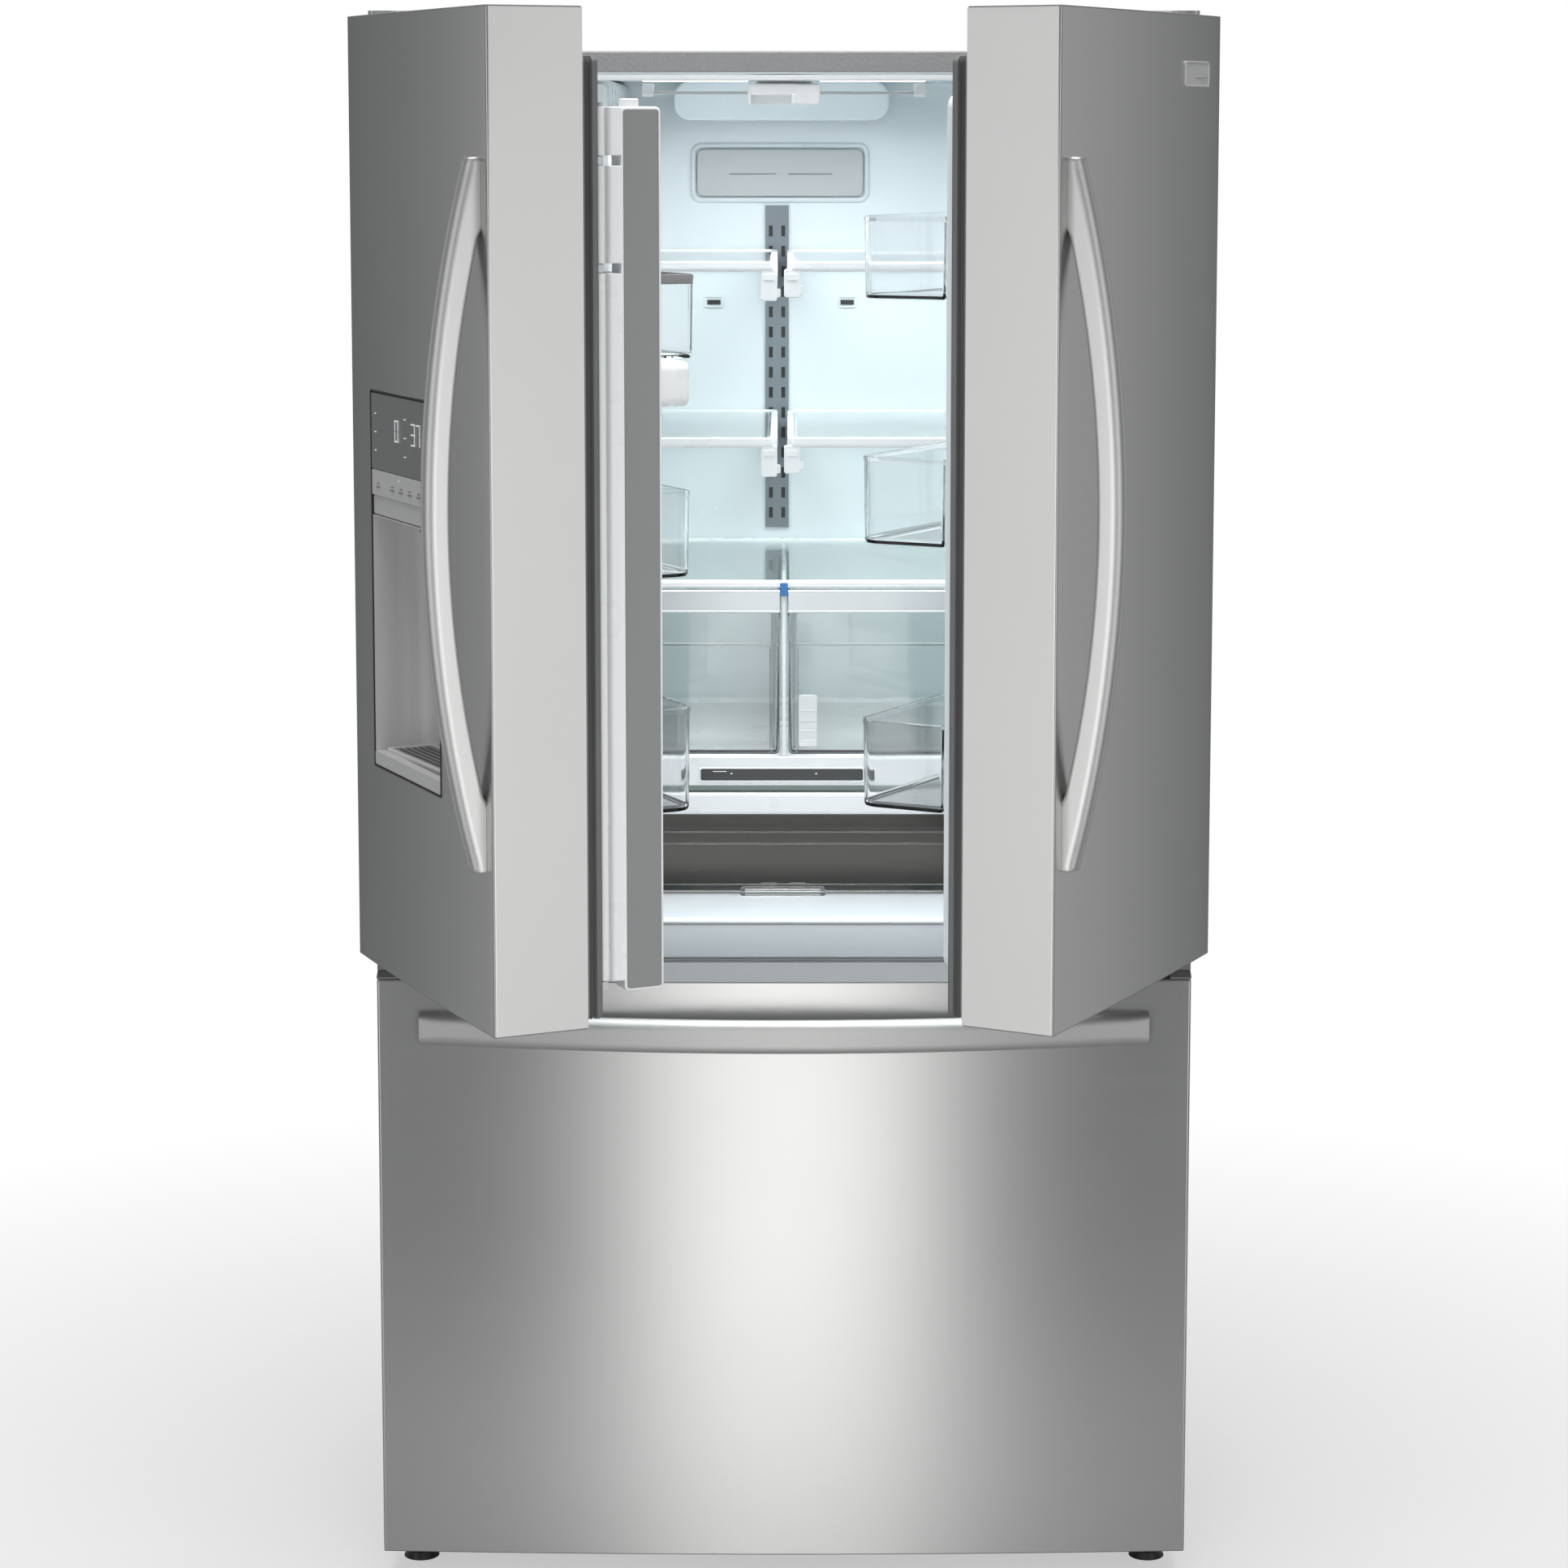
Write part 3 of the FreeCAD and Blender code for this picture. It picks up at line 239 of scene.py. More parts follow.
class Finish:
    """A material under construction round one Principled shader, on Object coordinates."""

    def __init__(self, name):
        self.material = bpy.data.materials.new(name)
        self.material.use_nodes = True
        self.tree = self.material.node_tree
        self.tree.nodes.clear()
        self.output = self.tree.nodes.new("ShaderNodeOutputMaterial")
        self.shader = self.tree.nodes.new("ShaderNodeBsdfPrincipled")
        self.tree.links.new(self.shader.outputs[0], self.output.inputs["Surface"])
        self.place = self.node("ShaderNodeTexCoord", {}, output="Object")

    def fill(self, socket, value):
        """A link from a Signal, or else a plain value."""
        if isinstance(value, Signal):
            self.tree.links.new(value.socket, socket)
        elif hasattr(value, "__len__") and len(value) == 3 and socket.type == "RGBA":
            socket.default_value = (*value, 1.0)
        else:
            socket.default_value = value

    def node(self, kind, settings, *values, output=0, **named):
        """One node: its settings, then its inputs in order or by name."""
        made = self.tree.nodes.new(kind)
        for key, value in settings.items():
            setattr(made, key, value)
        for socket, value in zip(made.inputs, values):
            self.fill(socket, value)
        for key, value in named.items():
            self.fill(made.inputs[key.replace("_", " ")], value)
        return Signal(self, made.outputs[output])

    def stretched(self, stretch):
        """Object coordinates multiplied axis by axis."""
        return self.node("ShaderNodeVectorMath", {"operation": "MULTIPLY"}, self.place, stretch)

    def noise(self, scale, stretch=(1, 1, 1), detail=3.0, rough=0.5):
        """Noise from 0 to 1, scale in cells per metre."""
        place = self.stretched([scale * s for s in stretch])
        return self.node("ShaderNodeTexNoise", {}, Vector=place, Scale=1.0, Detail=detail,
                         Roughness=rough)

    def cells(self, scale, feature="F1"):
        """Voronoi distance, scale in cells per metre."""
        return self.node("ShaderNodeTexVoronoi", {"feature": feature},
                         Vector=self.place, Scale=scale)

    def between(self, factor, low, high):
        """Number that runs from low to high with the factor."""
        return self.node("ShaderNodeMapRange", {}, Value=factor, To_Min=low, To_Max=high)

    def blend(self, factor, first, second):
        """Colour between two colours."""
        mix = self.tree.nodes.new("ShaderNodeMix")
        mix.data_type = "RGBA"
        self.fill(mix.inputs[0], factor)
        self.fill(mix.inputs[6], first)
        self.fill(mix.inputs[7], second)
        return Signal(self, mix.outputs[2])

    def shades(self, factor, colour, spread):
        """A colour that gets darker and lighter by a share of itself."""
        dark = [c * (1 - spread) for c in colour]
        light = [min(c * (1 + spread), 1.0) for c in colour]
        return self.blend(factor, dark, light)

    def bump(self, height, strength, distance):
        """Relief into the shader's normal; distance in millimetres."""
        relief = self.node("ShaderNodeBump", {}, Strength=strength, Distance=distance * MM,
                           Height=height)
        self.fill(self.shader.inputs["Normal"], relief)

    def set(self, **values):
        """Inputs of the Principled shader by name."""
        for key, value in values.items():
            self.fill(self.shader.inputs[key.replace("_", " ")], value)
        return self.material

    def clear_to_lamps(self, tint):
        """Lets light from lamps through, as thin clear plastic and glass do."""
        path = self.node("ShaderNodeLightPath", {}, output="Is Shadow Ray")
        through = self.node("ShaderNodeBsdfTransparent", {}, tint)
        own = Signal(self, self.shader.outputs[0])
        mixed = self.node("ShaderNodeMixShader", {}, path, own, through)
        self.tree.links.new(mixed.socket, self.output.inputs["Surface"])


# ---------------------------------------------------------------- finishes
def brushed(name, colour, along, rough=0.30, spread=0.02):
    """Metal with fine brush lines that run along the given axes."""
    finish = Finish(name)
    coarse = [4.0 if axis in along else 900.0 for axis in "xyz"]
    fine = [14.0 if axis in along else 2600.0 for axis in "xyz"]
    lines = finish.noise(1.0, coarse, 3.0, 0.6)
    hair = finish.noise(1.0, fine, 2.0)
    cloud = finish.noise(3.5, detail=2.0)
    tone = lines * 0.5 + hair * 0.5
    roughness = finish.between(cloud, rough - 0.02, rough + 0.02) + (lines - 0.5) * 0.05
    finish.bump(tone, 0.07, 0.05)
    return finish.set(Base_Color=finish.shades(tone, colour, spread), Metallic=1.0,
                      Roughness=roughness, Specular_IOR_Level=0.5)


def moulded(name, colour, rough, grain=0.35, grain_scale=900.0, spread=0.02, coat=0.0):
    """Moulded plastic: faint tone drift, mould grain and scuffs in its gloss."""
    finish = Finish(name)
    drift = finish.noise(4.0, detail=2.0)
    skin = finish.noise(grain_scale, detail=2.0)
    scuff = finish.noise(22.0, detail=3.0)
    finish.bump(skin, grain, 0.04)
    return finish.set(Base_Color=finish.shades(drift, colour, spread), Coat_Weight=coat,
                      Coat_Roughness=0.08,
                      Roughness=finish.between(scuff, rough - 0.03, rough + 0.03))


def leather_paint(name, colour):
    """Painted steel embossed with a fine leather grain."""
    finish = Finish(name)
    cells = finish.cells(330.0)
    warp = finish.noise(210.0, detail=3.0)
    relief = cells * 0.6 + warp * 0.6
    wear = finish.noise(5.0, detail=3.0)
    finish.bump(relief, 0.8, 0.7)
    return finish.set(Base_Color=finish.shades(relief * 0.6 + wear * 0.4, colour, 0.10),
                      Roughness=finish.between(warp, 0.38, 0.52))


def rubber(name, colour):
    """Matt seal rubber with dust in its grain."""
    finish = Finish(name)
    dust = finish.noise(35.0, (1.0, 1.0, 0.3), 5.0, 0.7)
    grain = finish.noise(1500.0, detail=2.0)
    finish.bump(grain, 0.3, 0.05)
    return finish.set(Base_Color=finish.shades(dust, colour, 0.16),
                      Roughness=finish.between(dust, 0.5, 0.68))


def clear(name, tint, rough, lamp_tint, ior=1.46):
    """Clear moulded plastic or glass, with faint wipe marks in its gloss."""
    finish = Finish(name)
    wipes = finish.noise(9.0, (1.0, 1.0, 3.0), 4.0, 0.6)
    finish.clear_to_lamps(lamp_tint)
    return finish.set(Base_Color=finish.shades(wipes, tint, 0.015), Transmission_Weight=1.0,
                      IOR=ior, Roughness=finish.between(wipes, rough, rough + 0.05))


def spangled(name, colour):
    """Zinc coated steel with its crystal patches."""
    finish = Finish(name)
    patches = finish.cells(90.0)
    streaks = finish.noise(30.0, (1.0, 1.0, 0.2), 3.0)
    return finish.set(Base_Color=finish.shades(patches * 0.7 + streaks * 0.3, colour, 0.15),
                      Metallic=0.9, Roughness=finish.between(patches, 0.3, 0.5))


def foam(name, colour):
    """Rigid foam with open cells."""
    finish = Finish(name)
    cells = finish.cells(380.0)
    finish.bump(cells, 0.6, 0.4)
    return finish.set(Base_Color=finish.shades(cells, colour, 0.12), Roughness=0.9)


def glowing(name, colour, strength):
    """Lit diffuser with a soft pattern of its diodes."""
    finish = Finish(name)
    diodes = finish.noise(70.0, (1.0, 0.0, 0.0), 1.0)
    glow = finish.shades(diodes, colour, 0.04)
    return finish.set(Base_Color=glow, Roughness=0.35, Emission_Color=glow,
                      Emission_Strength=strength)


def tinted_glass(name, colour, rough, metallic, coat=0.6):
    """Glossy dark glass over a printed ground, with finger marks."""
    finish = Finish(name)
    marks = finish.noise(26.0, detail=4.0, rough=0.65)
    return finish.set(Base_Color=finish.shades(marks, colour, 0.06), Metallic=metallic,
                      Roughness=finish.between(marks, rough, rough + 0.12), Coat_Weight=coat,
                      Coat_Roughness=0.05)


def make_finishes():
    """Every finish by name."""
    colours = bpy.context.scene.fridge_colours
    steel, handle = list(colours.steel), list(colours.handle)
    return {
        "steel_front": brushed("steel_front", steel, "xy"),
        "steel_upright": brushed("steel_upright", handle, "z", 0.46),
        "steel_level": brushed("steel_level", (0.56, 0.56, 0.55), "x", 0.52),
        "silver_trim": brushed("silver_trim", (0.60, 0.63, 0.64), "x", 0.38),
        "plate_metal": brushed("plate_metal", (0.40, 0.415, 0.42), "x", 0.52),
        "badge_plate": moulded("badge_plate", (0.66, 0.66, 0.65), 0.25, 0.1, coat=0.4),
        "cabinet_paint": leather_paint("cabinet_paint", list(colours.wrap)),
        "liner": moulded("liner", list(colours.liner), 0.26, 0.15, 350.0),
        "white_plastic": moulded("white_plastic", (0.89, 0.905, 0.91), 0.28, 0.15),
        "grey_plastic": moulded("grey_plastic", (0.235, 0.235, 0.235), 0.42),
        "mullion_plate": moulded("mullion_plate", (0.262, 0.265, 0.265), 0.42, 0.25, 1400.0),
        "silver_plastic": moulded("silver_plastic", (0.70, 0.70, 0.69), 0.34, 0.2, 1500.0,
                                  coat=0.2),
        "ladder_paint": moulded("ladder_paint", (0.20, 0.225, 0.25), 0.35, 0.3),
        "black_plastic": moulded("black_plastic", (0.022, 0.022, 0.023), 0.42),
        "accent_plastic": moulded("accent_plastic", list(colours.accent), 0.35),
        "seal": rubber("seal", list(colours.seal)),
        "clear": clear("clear", (0.98, 0.988, 0.993), 0.015, (0.97, 0.98, 0.985), 1.33),
        "smoke": clear("smoke", list(colours.smoke), 0.03, (0.75, 0.74, 0.73), 1.16),
        "shelf_glass": clear("shelf_glass", (0.93, 0.975, 0.96), 0.0, (0.95, 0.98, 0.97), 1.18),
        "glass_edge": tinted_glass("glass_edge", (0.13, 0.20, 0.17), 0.10, 0.0),
        "black_glass": tinted_glass("black_glass", (0.018, 0.024, 0.024), 0.12, 0.0, 0.0),
        "display_glass": tinted_glass("display_glass", (0.27, 0.275, 0.27), 0.34, 0.45),
        "digits": glowing("digits", (0.80, 0.82, 0.84), 0.42),
        "lamp": glowing("lamp", (0.93, 0.97, 1.0), 1.3),
        "galvanised": spangled("galvanised", (0.52, 0.53, 0.54)),
        "black_steel": moulded("black_steel", (0.03, 0.03, 0.032), 0.35, 0.5, 700.0),
        "foam": foam("foam", (0.78, 0.70, 0.42)),
        "fins": brushed("fins", (0.72, 0.73, 0.74), "z", 0.35),
        "coil": moulded("coil", (0.06, 0.045, 0.035), 0.45, 0.4, 600.0),
        "brass": brushed("brass", (0.62, 0.45, 0.19), "y", 0.30),
    }


FINISHES = {}


def finish_named(name):
    """A finish by name, all of them made at the first call."""
    if not FINISHES:
        FINISHES.update(make_finishes())
    return FINISHES[name]


# ---------------------------------------------------------------- outlines
def rect(a0, a1, b0, b1):
    """Corners of a rectangle, anticlockwise."""
    return [(a0, b0), (a1, b0), (a1, b1), (a0, b1)]


def plan(corners, radius, inset=0.0, steps=5):
    """Anticlockwise polygon drawn inwards by inset with rounded corners."""
    count = len(corners)
    radii = radius if hasattr(radius, "__len__") else [radius] * count
    outline = []
    for i, here in enumerate(corners):
        here, before, after = Vector(here), Vector(corners[i - 1]), Vector(corners[(i + 1) % count])
        arrive, leave = (here - before).normalized(), (after - here).normalized()
        inward, next_inward = Vector((-arrive.y, arrive.x)), Vector((-leave.y, leave.x))
        bend = math.atan2(arrive.x * leave.y - arrive.y * leave.x, arrive.dot(leave))
        moved = here + (inward + next_inward) * (inset / (1 + inward.dot(next_inward)))
        reach = max(radii[i] - math.copysign(inset, bend), 0.05)
        start = moved - arrive * reach * math.tan(abs(bend) / 2)
        centre = start + inward * math.copysign(reach, bend)
        spoke = start - centre
        for k in range(steps + 1):
            turn = bend * k / steps
            cos, sin = math.cos(turn), math.sin(turn)
            outline.append(centre + Vector((spoke.x * cos - spoke.y * sin,
                                            spoke.x * sin + spoke.y * cos)))
    return outline


def lifted(outline, axis, depth):
    """Outline points carried to a depth along the axis that they leave out."""
    points = []
    for a, b in outline:
        point = [a, b]
        point.insert(axis, depth(a, b) if callable(depth) else depth)
        points.append(point)
    return points


def rolled(low, high, soft, steps=3):
    """(Depth, inset) pairs of a block whose end edges are rounded."""
    turns = [math.pi / 2 * k / steps for k in range(steps + 1)]
    start = [(low + soft * (1 - math.cos(t)), soft * (1 - math.sin(t))) for t in turns]
    return start + [(high - (depth - low), inset) for depth, inset in reversed(start)]


def tub_profile(bottom, top, wall, flare=3.0, lip=0.0):
    """(Depth, inset) pairs up the outside of an open box, over its rim and down to its floor."""
    return [
        (bottom, flare + 4), (bottom + 1, flare + 1), (bottom + 4, flare),
        (top - 6, lip), (top - 4.5, 0), (top - 0.5, 0), (top, 0.6), (top, lip + wall - 0.6),
        (top - 0.6, lip + wall), (bottom + wall + 5, flare + wall),
        (bottom + wall + 1.2, flare + wall + 1.2), (bottom + wall, flare + wall + 5),
    ]


class Form:
    """Mesh under construction, in millimetres."""

    def __init__(self):
        self.points = []
        self.faces = []

    def loft(self, rings, ends=True, closed=True, looped=False):
        """Skin over rings that have equal numbers of points."""
        count, start = len(rings[0]), len(self.points)
        self.points += [tuple(point) for ring in rings for point in ring]
        for r in range(len(rings) if looped else len(rings) - 1):
            here, there = start + r * count, start + (r + 1) % len(rings) * count
            for k in range(count if closed else count - 1):
                n = (k + 1) % count
                self.faces.append((here + k, here + n, there + n, there + k))
        if ends and not looped:
            last = start + (len(rings) - 1) * count
            self.faces.append(tuple(range(start, start + count)))
            self.faces.append(tuple(range(last, last + count)))
        return self

    def shell(self, corners, radius, axis, profile, ends=True, looped=False, steps=5):
        """Rounded outline carried through (depth, inset) pairs along one axis."""
        rings = [lifted(plan(corners, radius, inset, steps), axis, depth)
                 for depth, inset in profile]
        return self.loft(rings, ends, True, looped)

    def slab(self, x, y, z, axis=2, radius=2.0, soft=0.8):
        """Block between pairs of values, rounded round one axis and softened at its ends."""
        spans = [x, y, z]
        low, high = spans.pop(axis)
        return self.shell(rect(*spans[0], *spans[1]), radius, axis, rolled(low, high, soft))

    def rod(self, radius, start, end, sides=24, soft=0.5):
        """Round bar between two points, its end edges softened."""
        start, end = Vector(start), Vector(end)
        aim = (end - start).normalized()
        across = aim.orthogonal().normalized()
        along = aim.cross(across)
        length = (end - start).length
        rings = []
        for depth, inset in rolled(0, length, min(soft, radius * 0.5), 2):
            ring = []
            for k in range(sides):
                turn = 2 * math.pi * k / sides
                spoke = across * math.cos(turn) + along * math.sin(turn)
                ring.append(start + aim * depth + spoke * (radius - inset))
            rings.append(ring)
        return self.loft(rings)

    def sheet(self, across, up, place, is_open=None):
        """Grid of cells between the given values; place maps each pair to a point."""
        columns, start = len(across), len(self.points)
        self.points += [tuple(place(a, b)) for b in up for a in across]
        for j in range(len(up) - 1):
            for i in range(columns - 1):
                middle = (across[i] + across[i + 1]) / 2, (up[j] + up[j + 1]) / 2
                if is_open and is_open(*middle):
                    continue
                at = start + j * columns + i
                self.faces.append((at, at + 1, at + 1 + columns, at + columns))
        return self


# ---------------------------------------------------------------- repeats by Geometry Nodes
def repeat_tree():
    """Tree that sets a piece out in columns and rows: built once, then reused."""
    found = bpy.data.node_groups.get("set_out")
    if found:
        return found
    tree = bpy.data.node_groups.new("set_out", "GeometryNodeTree")
    face = tree.interface
    face.new_socket("Piece", in_out="INPUT", socket_type="NodeSocketGeometry")
    for name, kind in (("Columns", "NodeSocketInt"), ("Column Step", "NodeSocketVector"),
                       ("Rows", "NodeSocketInt"), ("Row Step", "NodeSocketVector"),
                       ("Finish", "NodeSocketMaterial")):
        face.new_socket(name, in_out="INPUT", socket_type=kind)
    face.new_socket("Pieces", in_out="OUTPUT", socket_type="NodeSocketGeometry")
    source = tree.nodes.new("NodeGroupInput")
    last = source.outputs["Piece"]
    for count, step in (("Columns", "Column Step"), ("Rows", "Row Step")):
        line = tree.nodes.new("GeometryNodeMeshLine")
        line.mode = "OFFSET"
        tree.links.new(source.outputs[count], line.inputs["Count"])
        tree.links.new(source.outputs[step], line.inputs["Offset"])
        copies = tree.nodes.new("GeometryNodeInstanceOnPoints")
        tree.links.new(line.outputs["Mesh"], copies.inputs["Points"])
        tree.links.new(last, copies.inputs["Instance"])
        last = copies.outputs["Instances"]
    real = tree.nodes.new("GeometryNodeRealizeInstances")
    paint = tree.nodes.new("GeometryNodeSetMaterial")
    out = tree.nodes.new("NodeGroupOutput")
    tree.links.new(last, real.inputs[0])
    tree.links.new(real.outputs[0], paint.inputs["Geometry"])
    tree.links.new(source.outputs["Finish"], paint.inputs["Material"])
    tree.links.new(paint.outputs[0], out.inputs[0])
    return tree


def set_out(obj, columns, rows, finish):
    """Replaces an object's mesh by its copies in columns and rows: (count, step) each."""
    tree = repeat_tree()
    keys = {item.name: item.identifier for item in tree.interface.items_tree
            if item.item_type == "SOCKET"}
    modifier = obj.modifiers.new("set_out", "NODES")
    modifier.node_group = tree
    modifier[keys["Columns"]], modifier[keys["Column Step"]] = columns[0], list(columns[1])
    modifier[keys["Rows"]], modifier[keys["Row Step"]] = rows[0], list(rows[1])
    modifier[keys["Finish"]] = finish
    ready = obj.evaluated_get(bpy.context.evaluated_depsgraph_get())
    mesh = bpy.data.meshes.new_from_object(ready)
    obj.modifiers.remove(modifier)
    obj.data = mesh


# ---------------------------------------------------------------- settling a piece
def settle(form, name, body, finish, place=ROOM, stands_for=(), wall=0.0, outside=None,
           columns=None, rows=None, crease=35.0):
    """Turns a form into a finished piece that rides on its body.

    wall thickens an open sheet inwards, away from the side that the point outside looks at.
    columns and rows repeat the piece, each a (count, step) pair.
    """
    mesh = bpy.data.meshes.new(name)
    mesh.from_pydata(form.points, [], form.faces)
    mesh.transform(place)
    work = bmesh.new()
    work.from_mesh(mesh)
    bmesh.ops.remove_doubles(work, verts=work.verts, dist=1e-6)
    bmesh.ops.recalc_face_normals(work, faces=work.faces)
    if outside is not None:
        seen = place @ Vector(outside)
        facing = sum((seen - f.calc_center_median()).dot(f.normal) * f.calc_area()
                     for f in work.faces)
        if facing < 0:
            bmesh.ops.reverse_faces(work, faces=work.faces)
    for seam in work.edges:
        seam.smooth = seam.is_manifold and seam.calc_face_angle() < math.radians(crease)
    for face in work.faces:
        face.smooth = True
    work.to_mesh(mesh)
    work.free()
    obj = bpy.data.objects.new(name, mesh)
    bpy.context.scene.collection.objects.link(obj)
    material = finish_named(finish)
    mesh.materials.append(material)
    if columns or rows:
        turn = place.to_3x3()
        steps = [(count, turn @ Vector(step)) for count, step in
                 (columns or (1, (0, 0, 0)), rows or (1, (0, 0, 0)))]
        set_out(obj, steps[0], steps[1], material)
    if wall:
        thick = obj.modifiers.new("wall", "SOLIDIFY")
        thick.thickness = wall * MM
        thick.offset = -1.0
    even = obj.modifiers.new("even", "WEIGHTED_NORMAL")
    even.keep_sharp = True
    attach(obj, body)
    if stands_for:
        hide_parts(*stands_for)
    return obj


def dress(node, finish):
    """Gives a CAD node that keeps its own shape a procedural finish."""
    materials = frame["nodes"][node].data.materials
    for index in range(len(materials)):
        materials[index] = finish_named(finish)
    if not len(materials):
        materials.append(finish_named(finish))


class PieceOperator:
    """What every build step shares."""

    bl_options = {"REGISTER", "UNDO"}

    def execute(self, context):
        self.build(context)
        return {"FINISHED"}


# ---------------------------------------------------------------- cabinet
class FRIDGE_OT_wrap(PieceOperator, bpy.types.Operator):
    """Folds the painted steel wrap with its front flange, and the rail between the compartments"""

    bl_idname = "fridge.wrap"
    bl_label = "Cabinet wrap"

    def arch(self, half, top, radius):
        """Open outline up one side, over the top and down the other."""
        low = CABINET_BOTTOM
        corners = rect(-half, half, low - 400, top)
        outline = plan(corners, radius)
        upper = [point for point in outline if point.y > low]
        return [Vector((half, low))] + upper + [Vector((-half, low))]

    def build(self, context):
        sheet = context.scene.fridge_sizes.sheet / MM
        mouth = self.arch(CHAMBER_HALF + 3, FRIDGE_CEILING + 3, 6)
        steps = [(self.arch(CABINET_HALF - inset, CABINET_TOP - inset, 7 - inset), depth)
                 for depth, inset in rolled(CABINET_FRONT, CABINET_BACK + 40, 2.5)[:4]]
        back = self.arch(CABINET_HALF, CABINET_TOP, 7), CABINET_BACK
        rings = [lifted(outline, 1, depth)
                 for outline, depth in [(mouth, CABINET_FRONT)] + steps + [back]]
        form = Form().loft(rings, ends=False, closed=False)
        settle(form, "cabinet_wrap", "cabinet", "cabinet_paint",
               wall=sheet, outside=(0, -9000, 9000), stands_for=["outer_cabinet"])
        half = CHAMBER_HALF + 3
        bottom, top = FREEZER_CEILING + 3, DRAWER_TOP
        rail = Form().slab((-half, half), (CABINET_FRONT, CABINET_FRONT + 40), (bottom, top),
                           0, 1.5)
        settle(rail, "middle_rail", "cabinet", "cabinet_paint",
               stands_for=["centre_rail"])
        low = Form().slab((-half, half), (CABINET_FRONT, CABINET_FRONT + 20),
                          (CABINET_BOTTOM + 0.5, FREEZER_FLOOR + 0.4), 0, 1.5)
        settle(low, "bottom_rail", "cabinet", "cabinet_paint")


class FRIDGE_OT_back(PieceOperator, bpy.types.Operator):
    """Makes the rear sheet, the louvred machine cover, its screws and the cord gland"""

    bl_idname = "fridge.back"
    bl_label = "Rear panels"

    SLOT_SIZE = (42, 7)
    SLOT_PITCH = (60, 34)

    def build(self, context):
        inside = CABINET_HALF - 0.8
        face = CABINET_BACK
        upper = Form().slab((-inside, inside), (face - 1.4, face + 0.1), (300, CABINET_TOP - 0.8),
                            1, 6, 0.3)
        for z in (520, 900, 1280, 1640):
            upper.slab((-inside + 60, inside - 60), (face - 0.4, face + 1), (z, z + 26), 1, 12, 0.6)
        settle(upper, "rear_sheet", "cabinet", "galvanised",
               stands_for=["rear_panels"])
        low, high, half = 48.0, 312.0, 453.0
        first_x, first_z = -360, 95
        length, height = self.SLOT_SIZE
        pitch_x, pitch_z = self.SLOT_PITCH
        slots_x = [first_x + pitch_x * k for k in range(12)]
        slots_z = [first_z + pitch_z * k for k in range(5)]

        def is_slot(x, z):
            in_column = any(sx < x < sx + length for sx in slots_x)
            in_row = any(sz < z < sz + height for sz in slots_z)
            near_valve = 255 < x < 395 and 60 < z < 150
            near_gland = x < -350 and z < 150
            return in_column and in_row and not (near_valve or near_gland)

        across = sorted([-half, half] + slots_x + [x + length for x in slots_x])
        up = sorted([low, high] + slots_z + [z + height for z in slots_z])
        cover = Form().sheet(across, up, lambda x, z: (x, face + 1.6, z), is_slot)
        settle(cover, "machine_cover", "cabinet", "galvanised", wall=1.2,
               outside=(0, 9000, 0))
        louvre = Form().slab((first_x, first_x + length), (face - 4, face + 1.8), (101.5, 102.6),
                             0, 0.4, 0.2)
        settle(louvre, "cover_louvres", "cabinet", "galvanised",
               columns=(10, (pitch_x, 0, 0)), rows=(5, (0, 0, pitch_z)))
        head = Form().rod(4.5, (-432, face + 1.2, 60), (-432, face + 3.4, 60), 12)
        settle(head, "cover_screws", "cabinet", "steel_level",
               columns=(9, (108, 0, 0)), rows=(2, (0, 0, 240)))
        gland = Form()
        ring = [(face - 1, 11), (face + 6, 11), (face + 7, 9.5), (face + 7, 5.5), (face - 1, 5)]
        rings = []
        for depth, radius in ring:
            rings.append([(-385 + radius * math.cos(t * math.pi / 14), depth,
                           110 + radius * math.sin(t * math.pi / 14)) for t in range(28)])
        gland.loft(rings, looped=True)
        settle(gland, "cord_gland", "cabinet", "black_plastic")


class FRIDGE_OT_base(PieceOperator, bpy.types.Operator):
    """Finishes the base frame, feet, hinges, hinge covers and the machinery"""

    bl_idname = "fridge.base"
    bl_label = "Base and machinery"

    KEPT = {
        "base_frame": "galvanised", "levelling_feet": "black_plastic",
        "door_hinges": "galvanised", "compressor": "black_steel", "condenser_coil": "coil",
        "condenser_fan_motor": "galvanised", "condenser_fan": "black_plastic",
        "drain_pan": "black_plastic", "evaporator_coil": "fins", "evaporator_fan": "black_plastic",
        "water_inlet_valve": "brass", "rear_roller_left": "black_plastic",
        "rear_roller_right": "black_plastic", "cabinet_insulation": "foam",
        "evaporator_cover": "white_plastic",
    }

    def build(self, context):
        for node, finish in self.KEPT.items():
            dress(node, finish)
        for name, sign in (("left", -1), ("right", 1)):
            cap = Form()
            corners = [(378, 109), (453.5, 109), (453.5, 240), (378, 240)]
            profile = [(CABINET_TOP + 0.2, 0), (CABINET_TOP + 36, 1.5), (DOOR_TOP + 5, 4),
                       (DOOR_TOP + 8, 7), (DOOR_TOP + 9, 11)]
            cap.shell(corners, 9, 2, profile)
            cap.slab((396, 436), (150, 156), (DOOR_TOP + 8.6, DOOR_TOP + 9), 2, 2.5, 0.2)
            wedge = Form()
            side = [(-2, 707), (60, 707), (60, 715.5), (12, 715.5), (-2, 709)]
            wedge.shell(side, 1.2, 0, rolled(433, 457, 1.0))
            wedge.slab((433, 457), (8, 13), (715, 724), 2, 1.5)
            place = ROOM @ Matrix.Diagonal((sign, 1, 1, 1))
            settle(cap, name + "_hinge_cover", "cabinet", "grey_plastic", place,
                   stands_for=["hinge_covers"])
            settle(wedge, name + "_hinge_cap", "cabinet", "grey_plastic", place)


